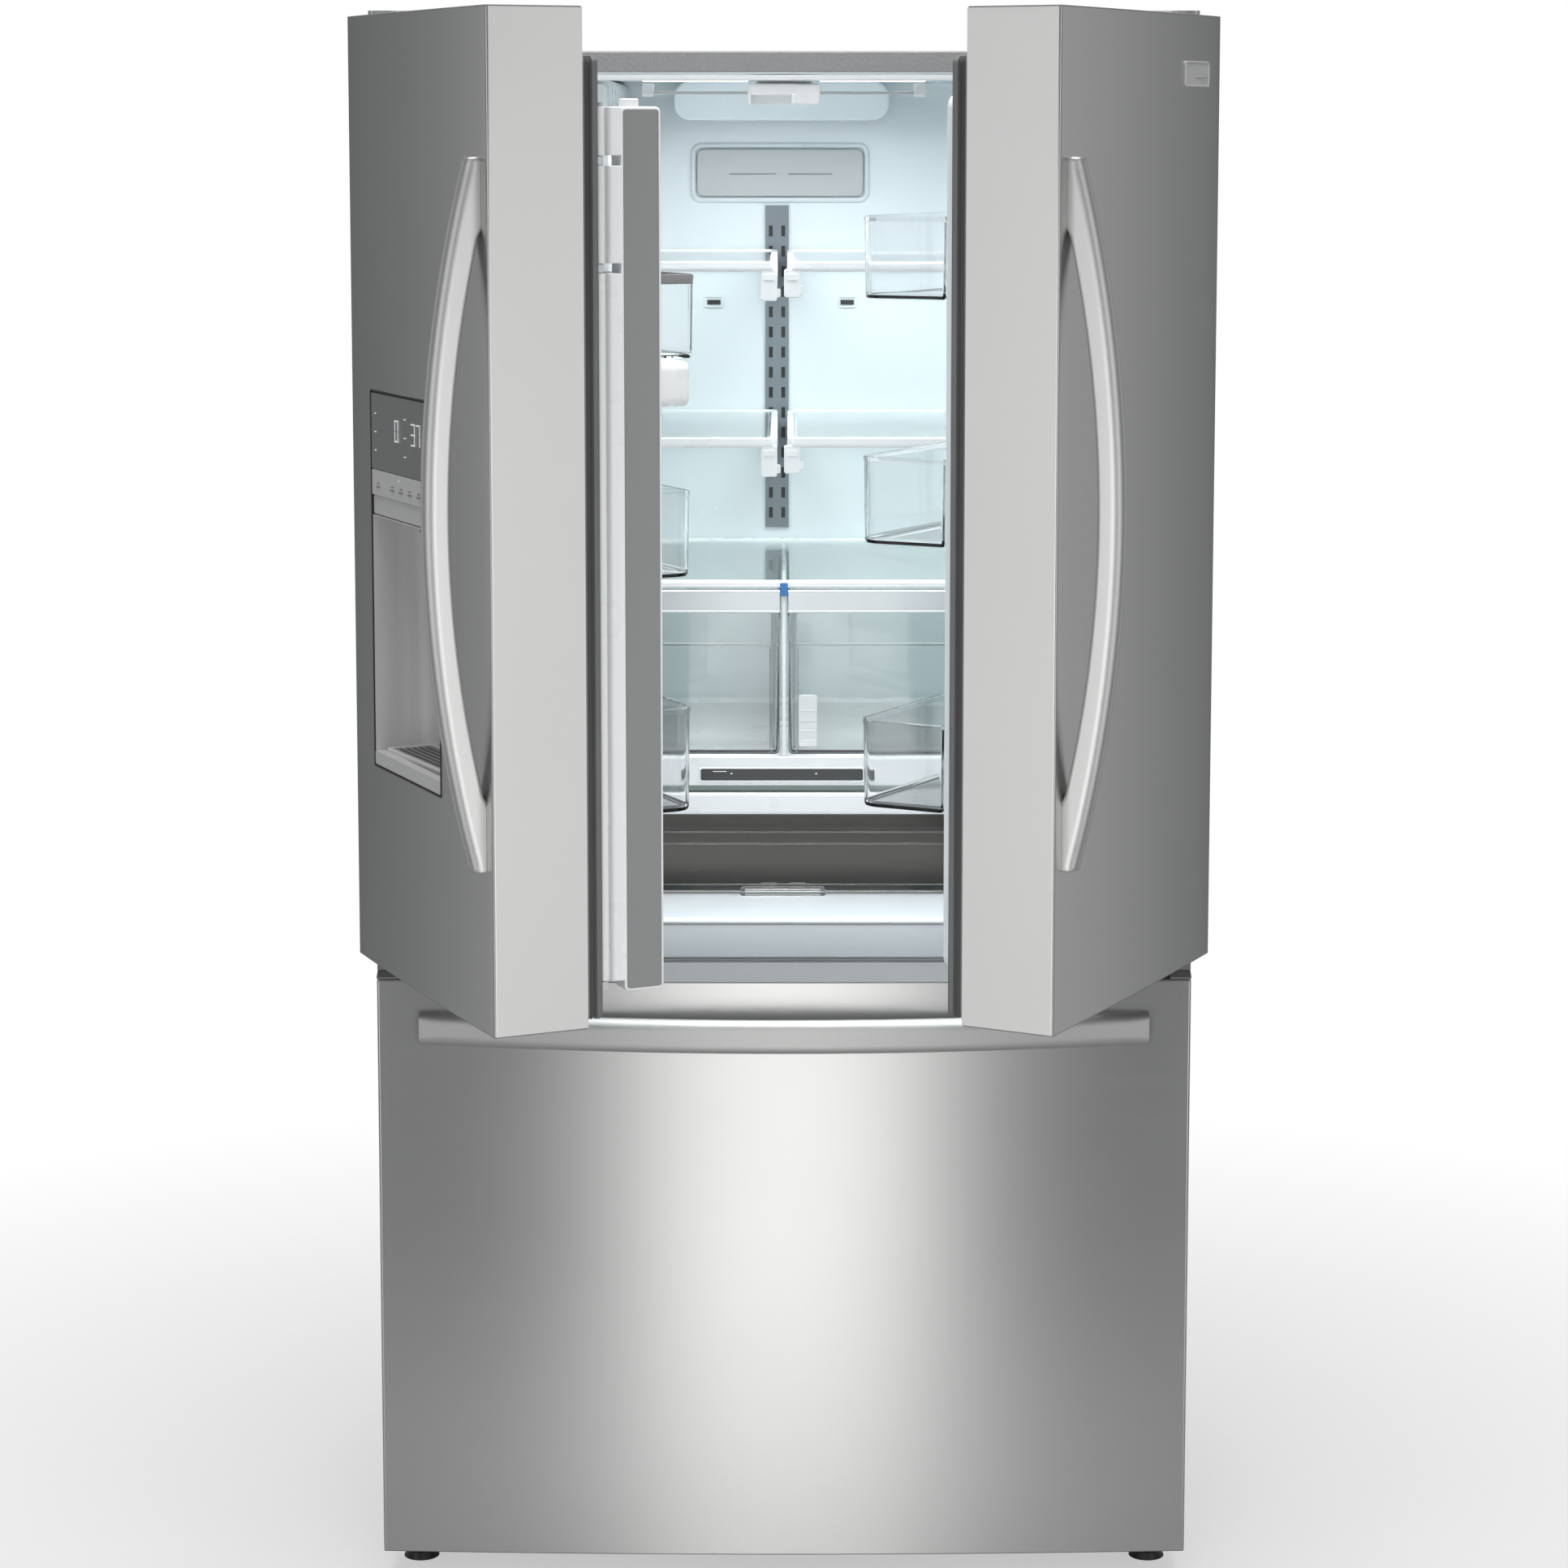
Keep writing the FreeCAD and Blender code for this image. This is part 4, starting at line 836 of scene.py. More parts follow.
class FRIDGE_OT_tubs(PieceOperator, bpy.types.Operator):
    """Moulds the liners of both compartments, with the rear housing, shelf lips and air vents"""

    bl_idname = "fridge.tubs"
    bl_label = "Liners"

    def build(self, context):
        half, back = CHAMBER_HALF, CHAMBER_BACK
        fridge = Form()
        profile = [(back + 3, -2.9), (CABINET_FRONT + 1, -2.9), (CABINET_FRONT, -2),
                   (CABINET_FRONT + 0.4, -0.6), (CABINET_FRONT + 3, 0), (CABINET_FRONT + 60, 0.8),
                   (back - 24, 1.5), (back - 12, 4), (back - 3, 12), (back, 24)]
        fridge.shell(rect(-half, half, FRIDGE_FLOOR, FRIDGE_CEILING), 22, 1, profile)
        fridge.slab((-137, 131), (600, back - 1), (1664, FRIDGE_CEILING - 1), 1, 20, 3)
        for level in (1140, 1310, 1480):
            for low, high in ((-half, 2.5 - half), (half - 2.5, half)):
                fridge.slab((low, high), (300, 700), (level, level + 5), 1, 1.2, 1)
        for inset, depth in ((0, 46), (7, 52)):
            crest = FRIDGE_FLOOR + 2.4 - inset * 0.2
            step = [(CABINET_FRONT + 0.2, crest - 40), (CABINET_FRONT + depth, crest - 40),
                    (CABINET_FRONT + depth, crest), (CABINET_FRONT + inset, crest)]
            fridge.shell(step, [1, 1, 7, 9], 0, rolled(-half + 1, half - 1, 1))
        settle(fridge, "fridge_tub", "cabinet", "liner",
               stands_for=["fridge_liner"])

        sill = Form()
        side = [(CABINET_FRONT - 0.1, DRAWER_TOP + 0.5), (CABINET_FRONT + 9, DRAWER_TOP + 0.5),
                (CABINET_FRONT + 9, FRIDGE_FLOOR - 4), (CABINET_FRONT - 0.1, FRIDGE_FLOOR - 4)]
        sill.shell(side, [2, 1, 3, 6], 0, rolled(-half - 2, half + 2, 1))
        settle(sill, "fridge_sill", "cabinet", "liner")

        lip = Form().slab((1 - half, half - 1), (CABINET_FRONT + 0.6, CABINET_FRONT + 4),
                          (FRIDGE_CEILING - 7, FRIDGE_CEILING - 0.3), 0, 1.5, 1)
        settle(lip, "fridge_lip", "cabinet", "white_plastic")
        groove = Form().slab((1 - half, half - 1), (CABINET_FRONT - 0.3, CABINET_FRONT + 2),
                             (FRIDGE_FLOOR - 4.6, FRIDGE_FLOOR - 3.4), 0, 0.4, 0.3)
        settle(groove, "sill_groove", "cabinet", "grey_plastic")

        vent = Form()
        vent.shell(rect(-103, -78, 1424, 1440), 3, 1,
                   [(back - 0.5, 0), (back - 2.5, 0.5), (back - 2.5, 2.5), (back - 0.8, 3)])
        settle(vent, "air_vents", "cabinet", "liner", columns=(2, (172, 0, 0)))
        # The black slab on each vent's face is painted shade: it stands in for the dark inside the
        # slot opening.
        vent_painted_shade = Form().slab((-99, -82), (back - 3.1, back - 2.4), (1428.5, 1434.5), 0, 0.4, 0.2)
        settle(vent_painted_shade, "vent_opening_painted_shade", "cabinet", "black_plastic",
               columns=(2, (172, 0, 0)))

        step_back, low_top = 560.0, 330.0
        outline = [(CABINET_FRONT, FREEZER_FLOOR), (step_back, FREEZER_FLOOR),
                   (step_back, low_top), (back, low_top), (back, FREEZER_CEILING),
                   (CABINET_FRONT, FREEZER_CEILING)]
        radii = [0.4, 16, 10, 14, 16, 0.4]
        walls = [(-half, 14), (4 - half, 4), (14 - half, 0),
                 (half - 14, 0), (half - 4, 4), (half, 14)]
        rings = [lifted(plan(outline, radii, inset), 0, depth) for depth, inset in walls]
        mouth_at = CABINET_FRONT + 0.3
        tub = Form().loft(rings)
        tub.faces = [face for face in tub.faces
                     if not all(tub.points[i][1] < mouth_at + 14.5 for i in face)]
        settle(tub, "freezer_tub", "cabinet", "liner", wall=2.6,
               outside=(0, 330, 400), stands_for=["freezer_liner"])


class FRIDGE_OT_ceiling(PieceOperator, bpy.types.Operator):
    """Makes the lamp bar, the guide block, the filter plate, the shelf ladders and the ice maker"""

    bl_idname = "fridge.ceiling"
    bl_label = "Ceiling and rear wall"

    FIRST_SLOT = 1152
    SLOT_PITCH = 26
    SLOT_HEIGHT = 14
    SLOT_HALF = 2.5

    def build(self, context):
        top, back = FRIDGE_CEILING, CHAMBER_BACK
        lamp = Form()
        for low, high in ((-160, -41), (41, 160)):
            lamp.slab((low, high), (152, 190), (1706.5, top - 0.5), 0, 3, 1)
        settle(lamp, "ceiling_lamp", "cabinet", "lamp",
               stands_for=["ceiling_light"])
        rail = Form()
        for low, high in ((-148, -41), (41, 148)):
            rail.slab((low, high), (141, 144.5), (1692, 1695.4), 0, 1.6, 0.8)
        settle(rail, "ceiling_rail", "cabinet", "steel_level")
        mounts = Form()
        for low, high in ((-160, -147), (147, 160)):
            mounts.slab((low, high), (139, 160), (1689.5, 1704), 0, 4, 1.5)
        settle(mounts, "lamp_mounts", "cabinet", "white_plastic")

        guide = Form()
        guide.slab((12, 40), (114, 178), (1680, 1704), 1, 3, 2)
        guide.slab((-40, -37), (114, 178), (1680, 1704), 1, 1.2, 1)
        guide.slab((-38, 13), (173, 178), (1680, 1704), 1, 1.2, 1)
        guide.slab((-39, 14), (114, 178), (1691, 1704), 1, 2, 1)
        guide.slab((-32, 32), (128, 170), (1702, top - 0.4), 2, 4, 1)
        guide.slab((8.5, 14), (113, 120), (1681, 1692), 1, 1.2, 1)
        settle(guide, "mullion_cam", "cabinet", "white_plastic",
               stands_for=["mullion_guide"])

        rim = Form().shell(rect(-120, 110, 1559, 1636), 14, 1,
                           [(back - 0.5, 0), (back - 4, 1), (back - 6, 3.5), (back - 6, 5),
                            (back - 3.5, 7.5), (back - 3, 8)])
        settle(rim, "filter_rim", "cabinet", "liner",
               stands_for=["air_filter_cover"])
        plate = Form().slab((-112, 102), (back - 8.6, back - 3), (1567, 1628), 1, 9, 1.2)
        settle(plate, "filter_plate", "cabinet", "plate_metal")
        line = Form()
        line.slab((-70, -10), (back - 8.9, back - 8.4), (1595.2, 1597), 0, 0.2, 0.1)
        line.slab((6, 62), (back - 8.9, back - 8.4), (1595.2, 1597), 0, 0.2, 0.1)
        settle(line, "filter_lines", "cabinet", "grey_plastic")

        for name, left, right, low, high, columns in (
                ("ladder_middle", -24, 6, 1140, 1556, (-17, -1)),
                ("ladder_left", -407, -389, 1140, 1396, (-398,)),
                ("ladder_right", 389, 407, 1140, 1600, (398,))):
            slots = list(range(self.FIRST_SLOT, high - 20, self.SLOT_PITCH))

            def is_slot(x, z, columns=columns, slots=slots):
                return (any(abs(x - c) < self.SLOT_HALF for c in columns)
                        and any(s < z < s + self.SLOT_HEIGHT for s in slots))

            sides = (-self.SLOT_HALF, self.SLOT_HALF)
            across = sorted([left, right] + [c + d for c in columns for d in sides])
            up = sorted([low, high] + slots + [s + self.SLOT_HEIGHT for s in slots])
            strip = Form().sheet(across, up, lambda x, z: (x, back - 3.8, z), is_slot)
            settle(strip, name, "cabinet", "ladder_paint", wall=1.6,
                   outside=(0, 0, 1300), stands_for=["shelf_ladders"])
            # A black strip behind each column of slots is painted shade: it stands in for the dark
            # of the recess behind the ladder.
            dark = Form()
            for column in columns:
                dark.slab((column - 3.5, column + 3.5), (back - 1.4, back - 0.4),
                          (low + 8, high - 8), 1, 1, 0.2)
            settle(dark, name + "_channel", "cabinet", "black_plastic")

        ice = Form()
        ice.shell(rect(-409, ICE_BOX_RIGHT, 1401, 1711), 10, 1,
                  rolled(SHELF_FRONT + 12, back - 5, 2))
        ice.shell(rect(-404, ICE_BOX_RIGHT - 5, 1405, 1706), 9, 1,
                  rolled(SHELF_FRONT, SHELF_FRONT + 11, 3.5))
        ice.shell(rect(-345, -265, 1420, 1500), 14, 1,
                  rolled(SHELF_FRONT - 6, SHELF_FRONT + 4, 2.5))
        ice.slab((-392, ICE_BOX_RIGHT - 17), (SHELF_FRONT - 1.2, SHELF_FRONT + 2),
                 (1520, 1524), 0, 1)
        settle(ice, "ice_box", "cabinet", "white_plastic",
               stands_for=["ice_maker"])


class FRIDGE_OT_shelves(PieceOperator, bpy.types.Operator):
    """Makes the four half-width shelves, the crisper cover and their glass"""

    bl_idname = "fridge.shelves"
    bl_label = "Shelves"

    LAYOUT = ((ICE_BOX_RIGHT + 8, -8, UPPER_SHELF), (4, 406, UPPER_SHELF),
              (-406, -8, MIDDLE_SHELF), (4, 406, MIDDLE_SHELF))

    def frame_form(self, x0, x1, top):
        """Frame with a rounded front rail, a ledge for the glass and cantilever arms."""
        form = Form()
        profile = [(top - 11, 3), (top - 9, 0.6), (top - 3, 0), (top - 0.6, 0.6), (top, 2.5),
                   (top, 7.5), (top - 1, 8), (top - 5.8, 8), (top - 6, 12), (top - 11, 12)]
        form.shell(rect(x0, x1, SHELF_FRONT, 726), 10, 2, profile, looped=True)
        form.slab((x0 + 5, x1 - 5), (SHELF_FRONT, SHELF_FRONT + 9), (top - 12, top - 1), 0, 4, 1)
        for x in (x0, x1 - 4):
            front = SHELF_FRONT + 60
            side = [(front, top - 18), (700, top - 40), (736.5, top - 47), (736.5, top - 10),
                    (front, top - 10)]
            form.shell(side, 1.5, 0, rolled(x, x + 4, 0.8))
        return form

    def hanger_form(self, x0, x1, top):
        """Bracket below the front rail at the middle of the cabinet."""
        form = Form()
        inner, drop = (x1 - 19, 46) if x1 < 0 else (x0 - 4, 42)
        form.slab((inner, inner + 19), (SHELF_FRONT + 1, SHELF_FRONT + 13),
                  (top - drop, top - 9), 1, 3, 1.5)
        form.slab((inner + 4, inner + 23), (SHELF_FRONT + 4, SHELF_FRONT + 12),
                  (top - drop + 4, top - drop + 14), 1, 2, 1)
        form.slab((inner + 3, inner + 16), (SHELF_FRONT, SHELF_FRONT + 2),
                  (top - 22, top - 14), 1, 2, 0.6)
        return form

    def build(self, context):
        for index, (x0, x1, top) in enumerate(self.LAYOUT):
            name = ("upper", "upper", "middle", "middle")[index] + ("_left", "_right")[index % 2]
            settle(self.frame_form(x0, x1, top), name + "_shelf_frame", "cabinet",
                   "white_plastic", stands_for=["shelf_frames"])
            settle(self.hanger_form(x0, x1, top), name + "_shelf_bracket", "cabinet",
                   "white_plastic")
            pane = Form().slab((x0 + 8.4, x1 - 8.4), (SHELF_FRONT + 9.4, 718),
                               (top - 5.6, top - 1.6), 2, 4, 0.5)
            settle(pane, name + "_shelf_glass", "cabinet", "shelf_glass",
                   stands_for=["shelf_glass"])
        rim = Form()
        profile = [(COVER_TOP - 9, 3), (COVER_TOP - 7, 0.5), (COVER_TOP - 2, 0), (COVER_TOP, 1.5),
                   (COVER_TOP, 9), (COVER_TOP - 1, 9.5), (COVER_TOP - 5.8, 9.5),
                   (COVER_TOP - 6.2, 17), (COVER_TOP - 9, 17)]
        rim.shell(rect(-408, 408, INNER_FRONT + 2, 736), 6, 2, profile, looped=True)
        rim.slab((-2.5, 2.5), (INNER_FRONT + 4, 730), (DECK_TOP, COVER_TOP - 6.5), 1, 1, 0.8)
        for x in (-408, 404.5):
            rim.slab((x, x + 3.5), (INNER_FRONT + 4, 736), (DECK_TOP, COVER_TOP - 6.5), 1, 1, 0.8)
        settle(rim, "crisper_cover_frame", "cabinet", "white_plastic",
               stands_for=["crisper_cover"])
        pane = Form().slab((-398, 398), (INNER_FRONT + 14, 722),
                           (COVER_TOP - 5.7, COVER_TOP - 1.6), 2, 4, 0.5)
        settle(pane, "crisper_cover_glass", "cabinet", "shelf_glass")
        tab = Form().slab((-4.5, 4.5), (INNER_FRONT + 0.6, INNER_FRONT + 4), (1108, 1124),
                          1, 1.5, 0.8)
        settle(tab, "cover_tab", "cabinet", "accent_plastic")


class FRIDGE_OT_drawers(PieceOperator, bpy.types.Operator):
    """Makes the crispers, the humidity shutter, the pantry deck and the pantry drawer"""

    bl_idname = "fridge.drawers"
    bl_label = "Crispers and pantry"

    def crisper(self, name, x0, x1, wall):
        """Clear tub with a ribbed front window and a silver grip band."""
        front = INNER_FRONT
        tub = Form()
        tub.shell(rect(x0, x1, front + 6, 655), 12, 2, tub_profile(DECK_TOP + 2.5, 1108, wall))
        tub.slab((x0 + 1, x1 - 1), (front + 1, front + 6.4), (DECK_TOP + 3, 1089), 1, 6, 1.5)
        tub.slab((x0 + 3, x1 - 3), (front - 1.8, front + 2), (1048, 1053), 0, 1.4, 0.8)
        tub.slab((x0 + 14, x1 - 14), (front - 0.6, front + 2), (DECK_TOP + 9, DECK_TOP + 12),
                 0, 1, 0.6)
        for x in (x0 + 9, x1 - 13):
            tub.slab((x, x + 4), (front - 0.8, front + 2), (DECK_TOP + 6, 1046), 2, 1, 0.8)
        settle(tub, name + "_tub", name, "clear", stands_for=[name])
        band = Form().slab((x0 + 0.5, x1 - 0.5), (front, front + 9), (1088, 1115.5), 0, 3, 1)
        band.slab((x0 + 0.5, x1 - 0.5), (front - 0.6, front + 1), (1088.4, 1091), 0, 0.6, 0.4)
        settle(band, name + "_band", name, "silver_trim")

    def build(self, context):
        wall = context.scene.fridge_sizes.bin_wall / MM
        front = INNER_FRONT
        self.crisper("crisper_left", -403, -4, wall)
        self.crisper("crisper_right", 4, 403, wall)
        shutter = Form().slab((17, 39), (front + 8.8, front + 12), (928, 990), 1, 3, 0.8)
        shutter.slab((24, 32), (front + 12, front + 17.8), (950, 968), 1, 2, 1)
        for k in range(4):
            shutter.slab((20, 36), (front + 8.5, front + 9.6), (934 + 12 * k, 936 + 12 * k),
                         0, 0.5, 0.3)
        settle(shutter, "shutter_slide", "humidity_shutter", "white_plastic",
               stands_for=["humidity_shutter"])

        deck = Form()
        deck.shell(rect(-408, 408, DECK_BOTTOM + 6, DECK_TOP), 5, 1, rolled(front + 4.5, 738, 1.5))
        deck.shell(rect(-408, 408, DECK_BOTTOM + 6, DECK_TOP), 5, 1,
                   [(front + 6, 0.4), (front + 3, 0.4), (front + 2, 1.2), (front + 2, 3)])
        settle(deck, "pantry_deck_top", "cabinet", "white_plastic",
               stands_for=["pantry_deck"])
        bezel = Form().shell(rect(-100.5, 95.5, 886.5, 904.5), 4.5, 1,
                             [(front + 3, 0), (front + 1.2, 0.2), (front + 0.6, 0.9),
                              (front + 0.6, 1.9), (front + 2.8, 2.1)], looped=True)
        settle(bezel, "control_bezel", "cabinet", "white_plastic")
        strip = Form().slab((-98.6, 93.6), (front + 1.4, front + 4), (888.4, 902.6), 1, 2.6, 0.4)
        settle(strip, "control_strip", "cabinet", "black_glass",
               stands_for=["temperature_panel"])
        mark = Form()
        for x in (-62, 38):
            mark.slab((x - 1, x + 1), (front + 1.2, front + 1.6), (896, 897.6), 1, 0.5, 0.1)
        mark.slab((-84, -68), (front + 1.2, front + 1.6), (899, 899.8), 0, 0.2, 0.1)
        settle(mark, "control_marks", "cabinet", "digits")
        lid = Form().slab((-407, 407), (front + 5, 730), (DECK_BOTTOM - 0.2, DECK_BOTTOM + 6.5),
                          0, 1, 0.8)
        settle(lid, "pantry_lid_glass", "cabinet", "glass_edge")

        tub = Form()
        tub.shell(rect(-404, 404, front + 5, 655), 12, 2,
                  tub_profile(FRIDGE_FLOOR + 5.5, 869, wall))
        tub.slab((-403, 403), (front, front + 5.4), (FRIDGE_FLOOR + 5.5, 849), 1, 8, 2)
        settle(tub, "pantry_tub", "pantry_drawer", "smoke",
               stands_for=["pantry_drawer"])
        band = Form().slab((-403.5, 403.5), (front - 2, front + 8), (848, 874), 0, 4, 1)
        settle(band, "pantry_band", "pantry_drawer", "white_plastic")
        rails = Form()
        for z in (812, 826):
            rails.slab((-402, 402), (front - 1.6, front - 0.2), (z, z + 2.2), 0, 0.6, 0.5)
        rails.slab((-402, 402), (front - 5, front - 0.2), (FRIDGE_FLOOR + 6, FRIDGE_FLOOR + 15),
                   0, 2.2, 1)
        settle(rails, "pantry_rails", "pantry_drawer", "clear")
        latch = Form()
        latch.slab((-52, 49), (front - 18, front - 14.5), (FRIDGE_FLOOR + 3.2, 759), 1, 3, 1)
        latch.slab((-52, -46), (front - 17, front + 2), (FRIDGE_FLOOR + 3.2, 761), 1, 2, 1)
        latch.slab((43, 49), (front - 17, front + 2), (FRIDGE_FLOOR + 3.2, 761), 1, 2, 1)
        latch.slab((-50, 47), (front - 15, front + 2), (758.5, 761.8), 1, 1, 0.8)
        latch.slab((-28, -8), (front - 3, front + 2), (760, 766), 1, 1.5, 0.8)
        latch.slab((6, 26), (front - 3, front + 2), (760, 766), 1, 1.5, 0.8)
        settle(latch, "pantry_latch", "pantry_drawer", "clear")


# ---------------------------------------------------------------- doors
def bowed_front(form, x0, x1, bottom, top, radius, bow, back, opening=None):
    """Folded steel front: two returns and a bowed face, with a window where it is open."""
    turns = [math.pi / 2 * k / 4 for k in range(5)]
    path = [(x0, back)]
    path += [(x0 + radius * (1 - math.cos(t)), bow(x0) + radius * (1 - math.sin(t))) for t in turns]
    steps = 28
    flat = [x0 + radius + (x1 - x0 - 2 * radius) * k / steps for k in range(1, steps)]
    if opening:
        sides = list(opening[:2])
        flat = sorted([x for x in flat if min(abs(x - e) for e in sides) > 3] + sides)
    path += [(x, bow(x)) for x in flat]
    path += [(x1 - radius * (1 - math.cos(t)), bow(x1) + radius * (1 - math.sin(t)))
             for t in reversed(turns)]
    path.append((x1, back))
    levels = [bottom, top] + (list(opening[2:]) if opening else [])
    stations = list(range(len(path)))

    def is_window(station, z):
        x = (path[int(station)][0] + path[int(station) + 1][0]) / 2
        y = path[int(station)][1]
        return opening[0] < x < opening[1] and opening[2] < z < opening[3] and y < 20

    return form.sheet(stations, sorted(levels), lambda k, z: (*path[k], z),
                      is_window if opening else None)


def bowed_lid(form, x0, x1, z0, z1, bow, back, soft=0.8):
    """Flat end cap under a bowed front."""
    steps = 16
    across = [x0 + (x1 - x0) * k / steps for k in range(steps + 1)]
    outline = [(x, bow(x)) for x in across] + [(x1, back), (x0, back)]
    return form.shell(outline, 0.3, 2, rolled(z0, z1, soft, 2), steps=1)


class FRIDGE_OT_door_skins(PieceOperator, bpy.types.Operator):
    """Folds the brushed steel fronts of both doors and caps their ends"""

    bl_idname = "fridge.door_skins"
    bl_label = "Door fronts"

    def build(self, context):
        radius = context.scene.fridge_sizes.steel_edge / MM
        back = DOOR_BACK - 0.3
        window = (PANEL_LEFT + 2, PANEL_RIGHT - 2, PANEL_BOTTOM + 2, PANEL_TOP - 2)
        for side, place in DOORS:
            form = Form()
            bowed_front(form, 0.0, DOOR_WIDTH, DOOR_BOTTOM + 1.6, DOOR_TOP - 1.6, radius,
                        door_bow, back, window if side == "left" else None)
            settle(form, side + "_door_front", side + "_door", "steel_front",
                   place, wall=1.5, outside=(DOOR_WIDTH / 2, -9000, 1200),
                   stands_for=[side + "_door_skin"])
            caps = Form()
            for low in (DOOR_BOTTOM, DOOR_TOP - 2):
                bowed_lid(caps, 0.6, DOOR_WIDTH - 0.6, low, low + 2,
                          lambda x: door_bow(x) + 0.7, DOOR_BACK - 1)
            settle(caps, side + "_door_caps", side + "_door", "grey_plastic", place)


class FRIDGE_OT_door_panels(PieceOperator, bpy.types.Operator):
    """Moulds the inner panels of both doors with their raised dykes, and their seals"""

    bl_idname = "fridge.door_panels"
    bl_label = "Door inner panels"

    def panel(self, dyke_end):
        """Flat flange, rounded dyke and the hollow inside it."""
        back, crest = DOOR_BACK, DYKE_HEIGHT
        flange = rect(0.3, DOOR_WIDTH - 0.3, DOOR_BOTTOM + 1, DOOR_TOP - 1)
        dyke = rect(46, dyke_end, DYKE_BOTTOM, DYKE_TOP)
        rings = [lifted(plan(flange, 2, inset), 1, depth)
                 for depth, inset in ((back - 4, 0), (back - 0.8, 0), (back, 0.8))]
        profile = [(back, -5), (back + 1.5, -1.5), (back + 5, 0), (crest - 6, 1), (crest - 2, 2.5),
                   (crest, 6), (crest, 20), (crest - 2, 24), (crest - 6, 26), (back - 1, 27.5),
                   (back - 6, 29.5), (back - 7.6, 36)]
        rings += [lifted(plan(dyke, 16, inset), 1, depth) for depth, inset in profile]
        return Form().loft(rings)

    def seal(self, corners, place, name, body, node):
        """Seal with two bellows ribs, swept round the flange."""
        depth = SEAL_FACE - DOOR_BACK
        half = [(0.0, 0.0), (0.0, 0.16), (5.0, 0.24), (0.8, 0.38), (6.4, 0.52), (0.8, 0.66),
                (0.6, 0.9), (1.6, 1.0), (8.6, 1.0), (9.4, 0.92)]
        width = 20.0
        section = half + [(width - across, up) for across, up in reversed(half)]
        profile = [(DOOR_BACK + 0.05 + up * depth, across) for across, up in section]
        form = Form().shell(corners, 8, 1, profile, looped=True)
        settle(form, name, body, "seal", place, stands_for=[node], crease=50)

    def build(self, context):
        for side, place in DOORS:
            body = side + "_door"
            dyke_end = 400 if side == "left" else 416
            settle(self.panel(dyke_end), side + "_door_panel", body, "liner", place,
                   stands_for=[side + "_door_liner"])
            self.seal(rect(6, 451, 738, 1727), place, side + "_door_seal", body,
                      side + "_door_gasket")
        self.seal(rect(-446, 446, 64, 690), ROOM, "drawer_seal", "freezer_drawer", "drawer_gasket")


def arched_bar(half_length, rise, depth, width, end_depth, foot_length, rounding):
    """Rings of an upright bar that arches out along -Y and runs into its feet at Y = 0."""
    sag, inner_sag = rise - end_depth, rise - depth
    foot = half_length - foot_length
    sunk = 3.0
    outer_radius = (half_length ** 2 + sag ** 2) / (2 * sag)
    inner_radius = (foot ** 2 + inner_sag ** 2) / (2 * inner_sag)
    steps = 56
    heights = [half_length * math.sin(math.pi / 2 * (2 * k / steps - 1)) for k in range(1, steps)]
    tip = half_length - 0.01
    ends = [(tip, 2.2), (tip - 0.6, 0.9), (tip - 2.2, 0.0)]
    stations = [(-z, inset) for z, inset in ends]
    stations += [(z, 0.0) for z in heights if abs(z) < half_length - 3]
    stations += reversed(ends)
    rings = []
    for z, inset in stations:
        outer = outer_radius - rise - math.sqrt(outer_radius ** 2 - z ** 2)
        inner = sunk
        if abs(z) < foot:
            hollow = depth - rise + inner_radius - math.sqrt(inner_radius ** 2 - z ** 2)
            inner = min(hollow, sunk)
        round_front = min(rounding, (inner - outer) * 0.6, width * 0.48)
        round_back = min(rounding * 0.4, (inner - outer) * 0.3)
        radii = [round_front, round_front, round_back, round_back]
        corners = [(-width / 2, outer), (width / 2, outer), (width / 2, inner), (-width / 2, inner)]
        rings.append([(a, b, z) for a, b in plan(corners, radii, inset, 8)])
    return rings


class FRIDGE_OT_handles(PieceOperator, bpy.types.Operator):
    """Bends the three arched handles"""

    bl_idname = "fridge.handles"
    bl_label = "Handles"

    ACROSS = 425.0
    DOOR_MIDDLE = 1263.0
    DRAWER_HEIGHT = 652.0
    SUNK = 0.4

    def build(self, context):
        rounding = context.scene.fridge_sizes.handle_rounding / MM
        rings = arched_bar(half_length=362.6, rise=63, depth=27, width=25.4, end_depth=14,
                           foot_length=67, rounding=rounding)
        inner_edge = self.ACROSS - 13
        lift = Matrix.Translation((self.ACROSS, door_bow(inner_edge) + self.SUNK, self.DOOR_MIDDLE))
        for side, place in DOORS:
            settle(Form().loft(rings), side + "_handle", side + "_door",
                   "steel_upright", place @ lift, stands_for=[side + "_door_handle"])
        rings = arched_bar(half_length=410.6, rise=60, depth=19, width=37.4, end_depth=14,
                           foot_length=54, rounding=rounding * 1.1)
        at = Matrix.Translation((0, bow_y(411) + self.SUNK, self.DRAWER_HEIGHT))
        lay = at @ Matrix.Rotation(math.pi / 2, 4, "Y")
        settle(Form().loft(rings), "drawer_bar", "freezer_drawer", "steel_level",
               ROOM @ lay, stands_for=["drawer_handle"])


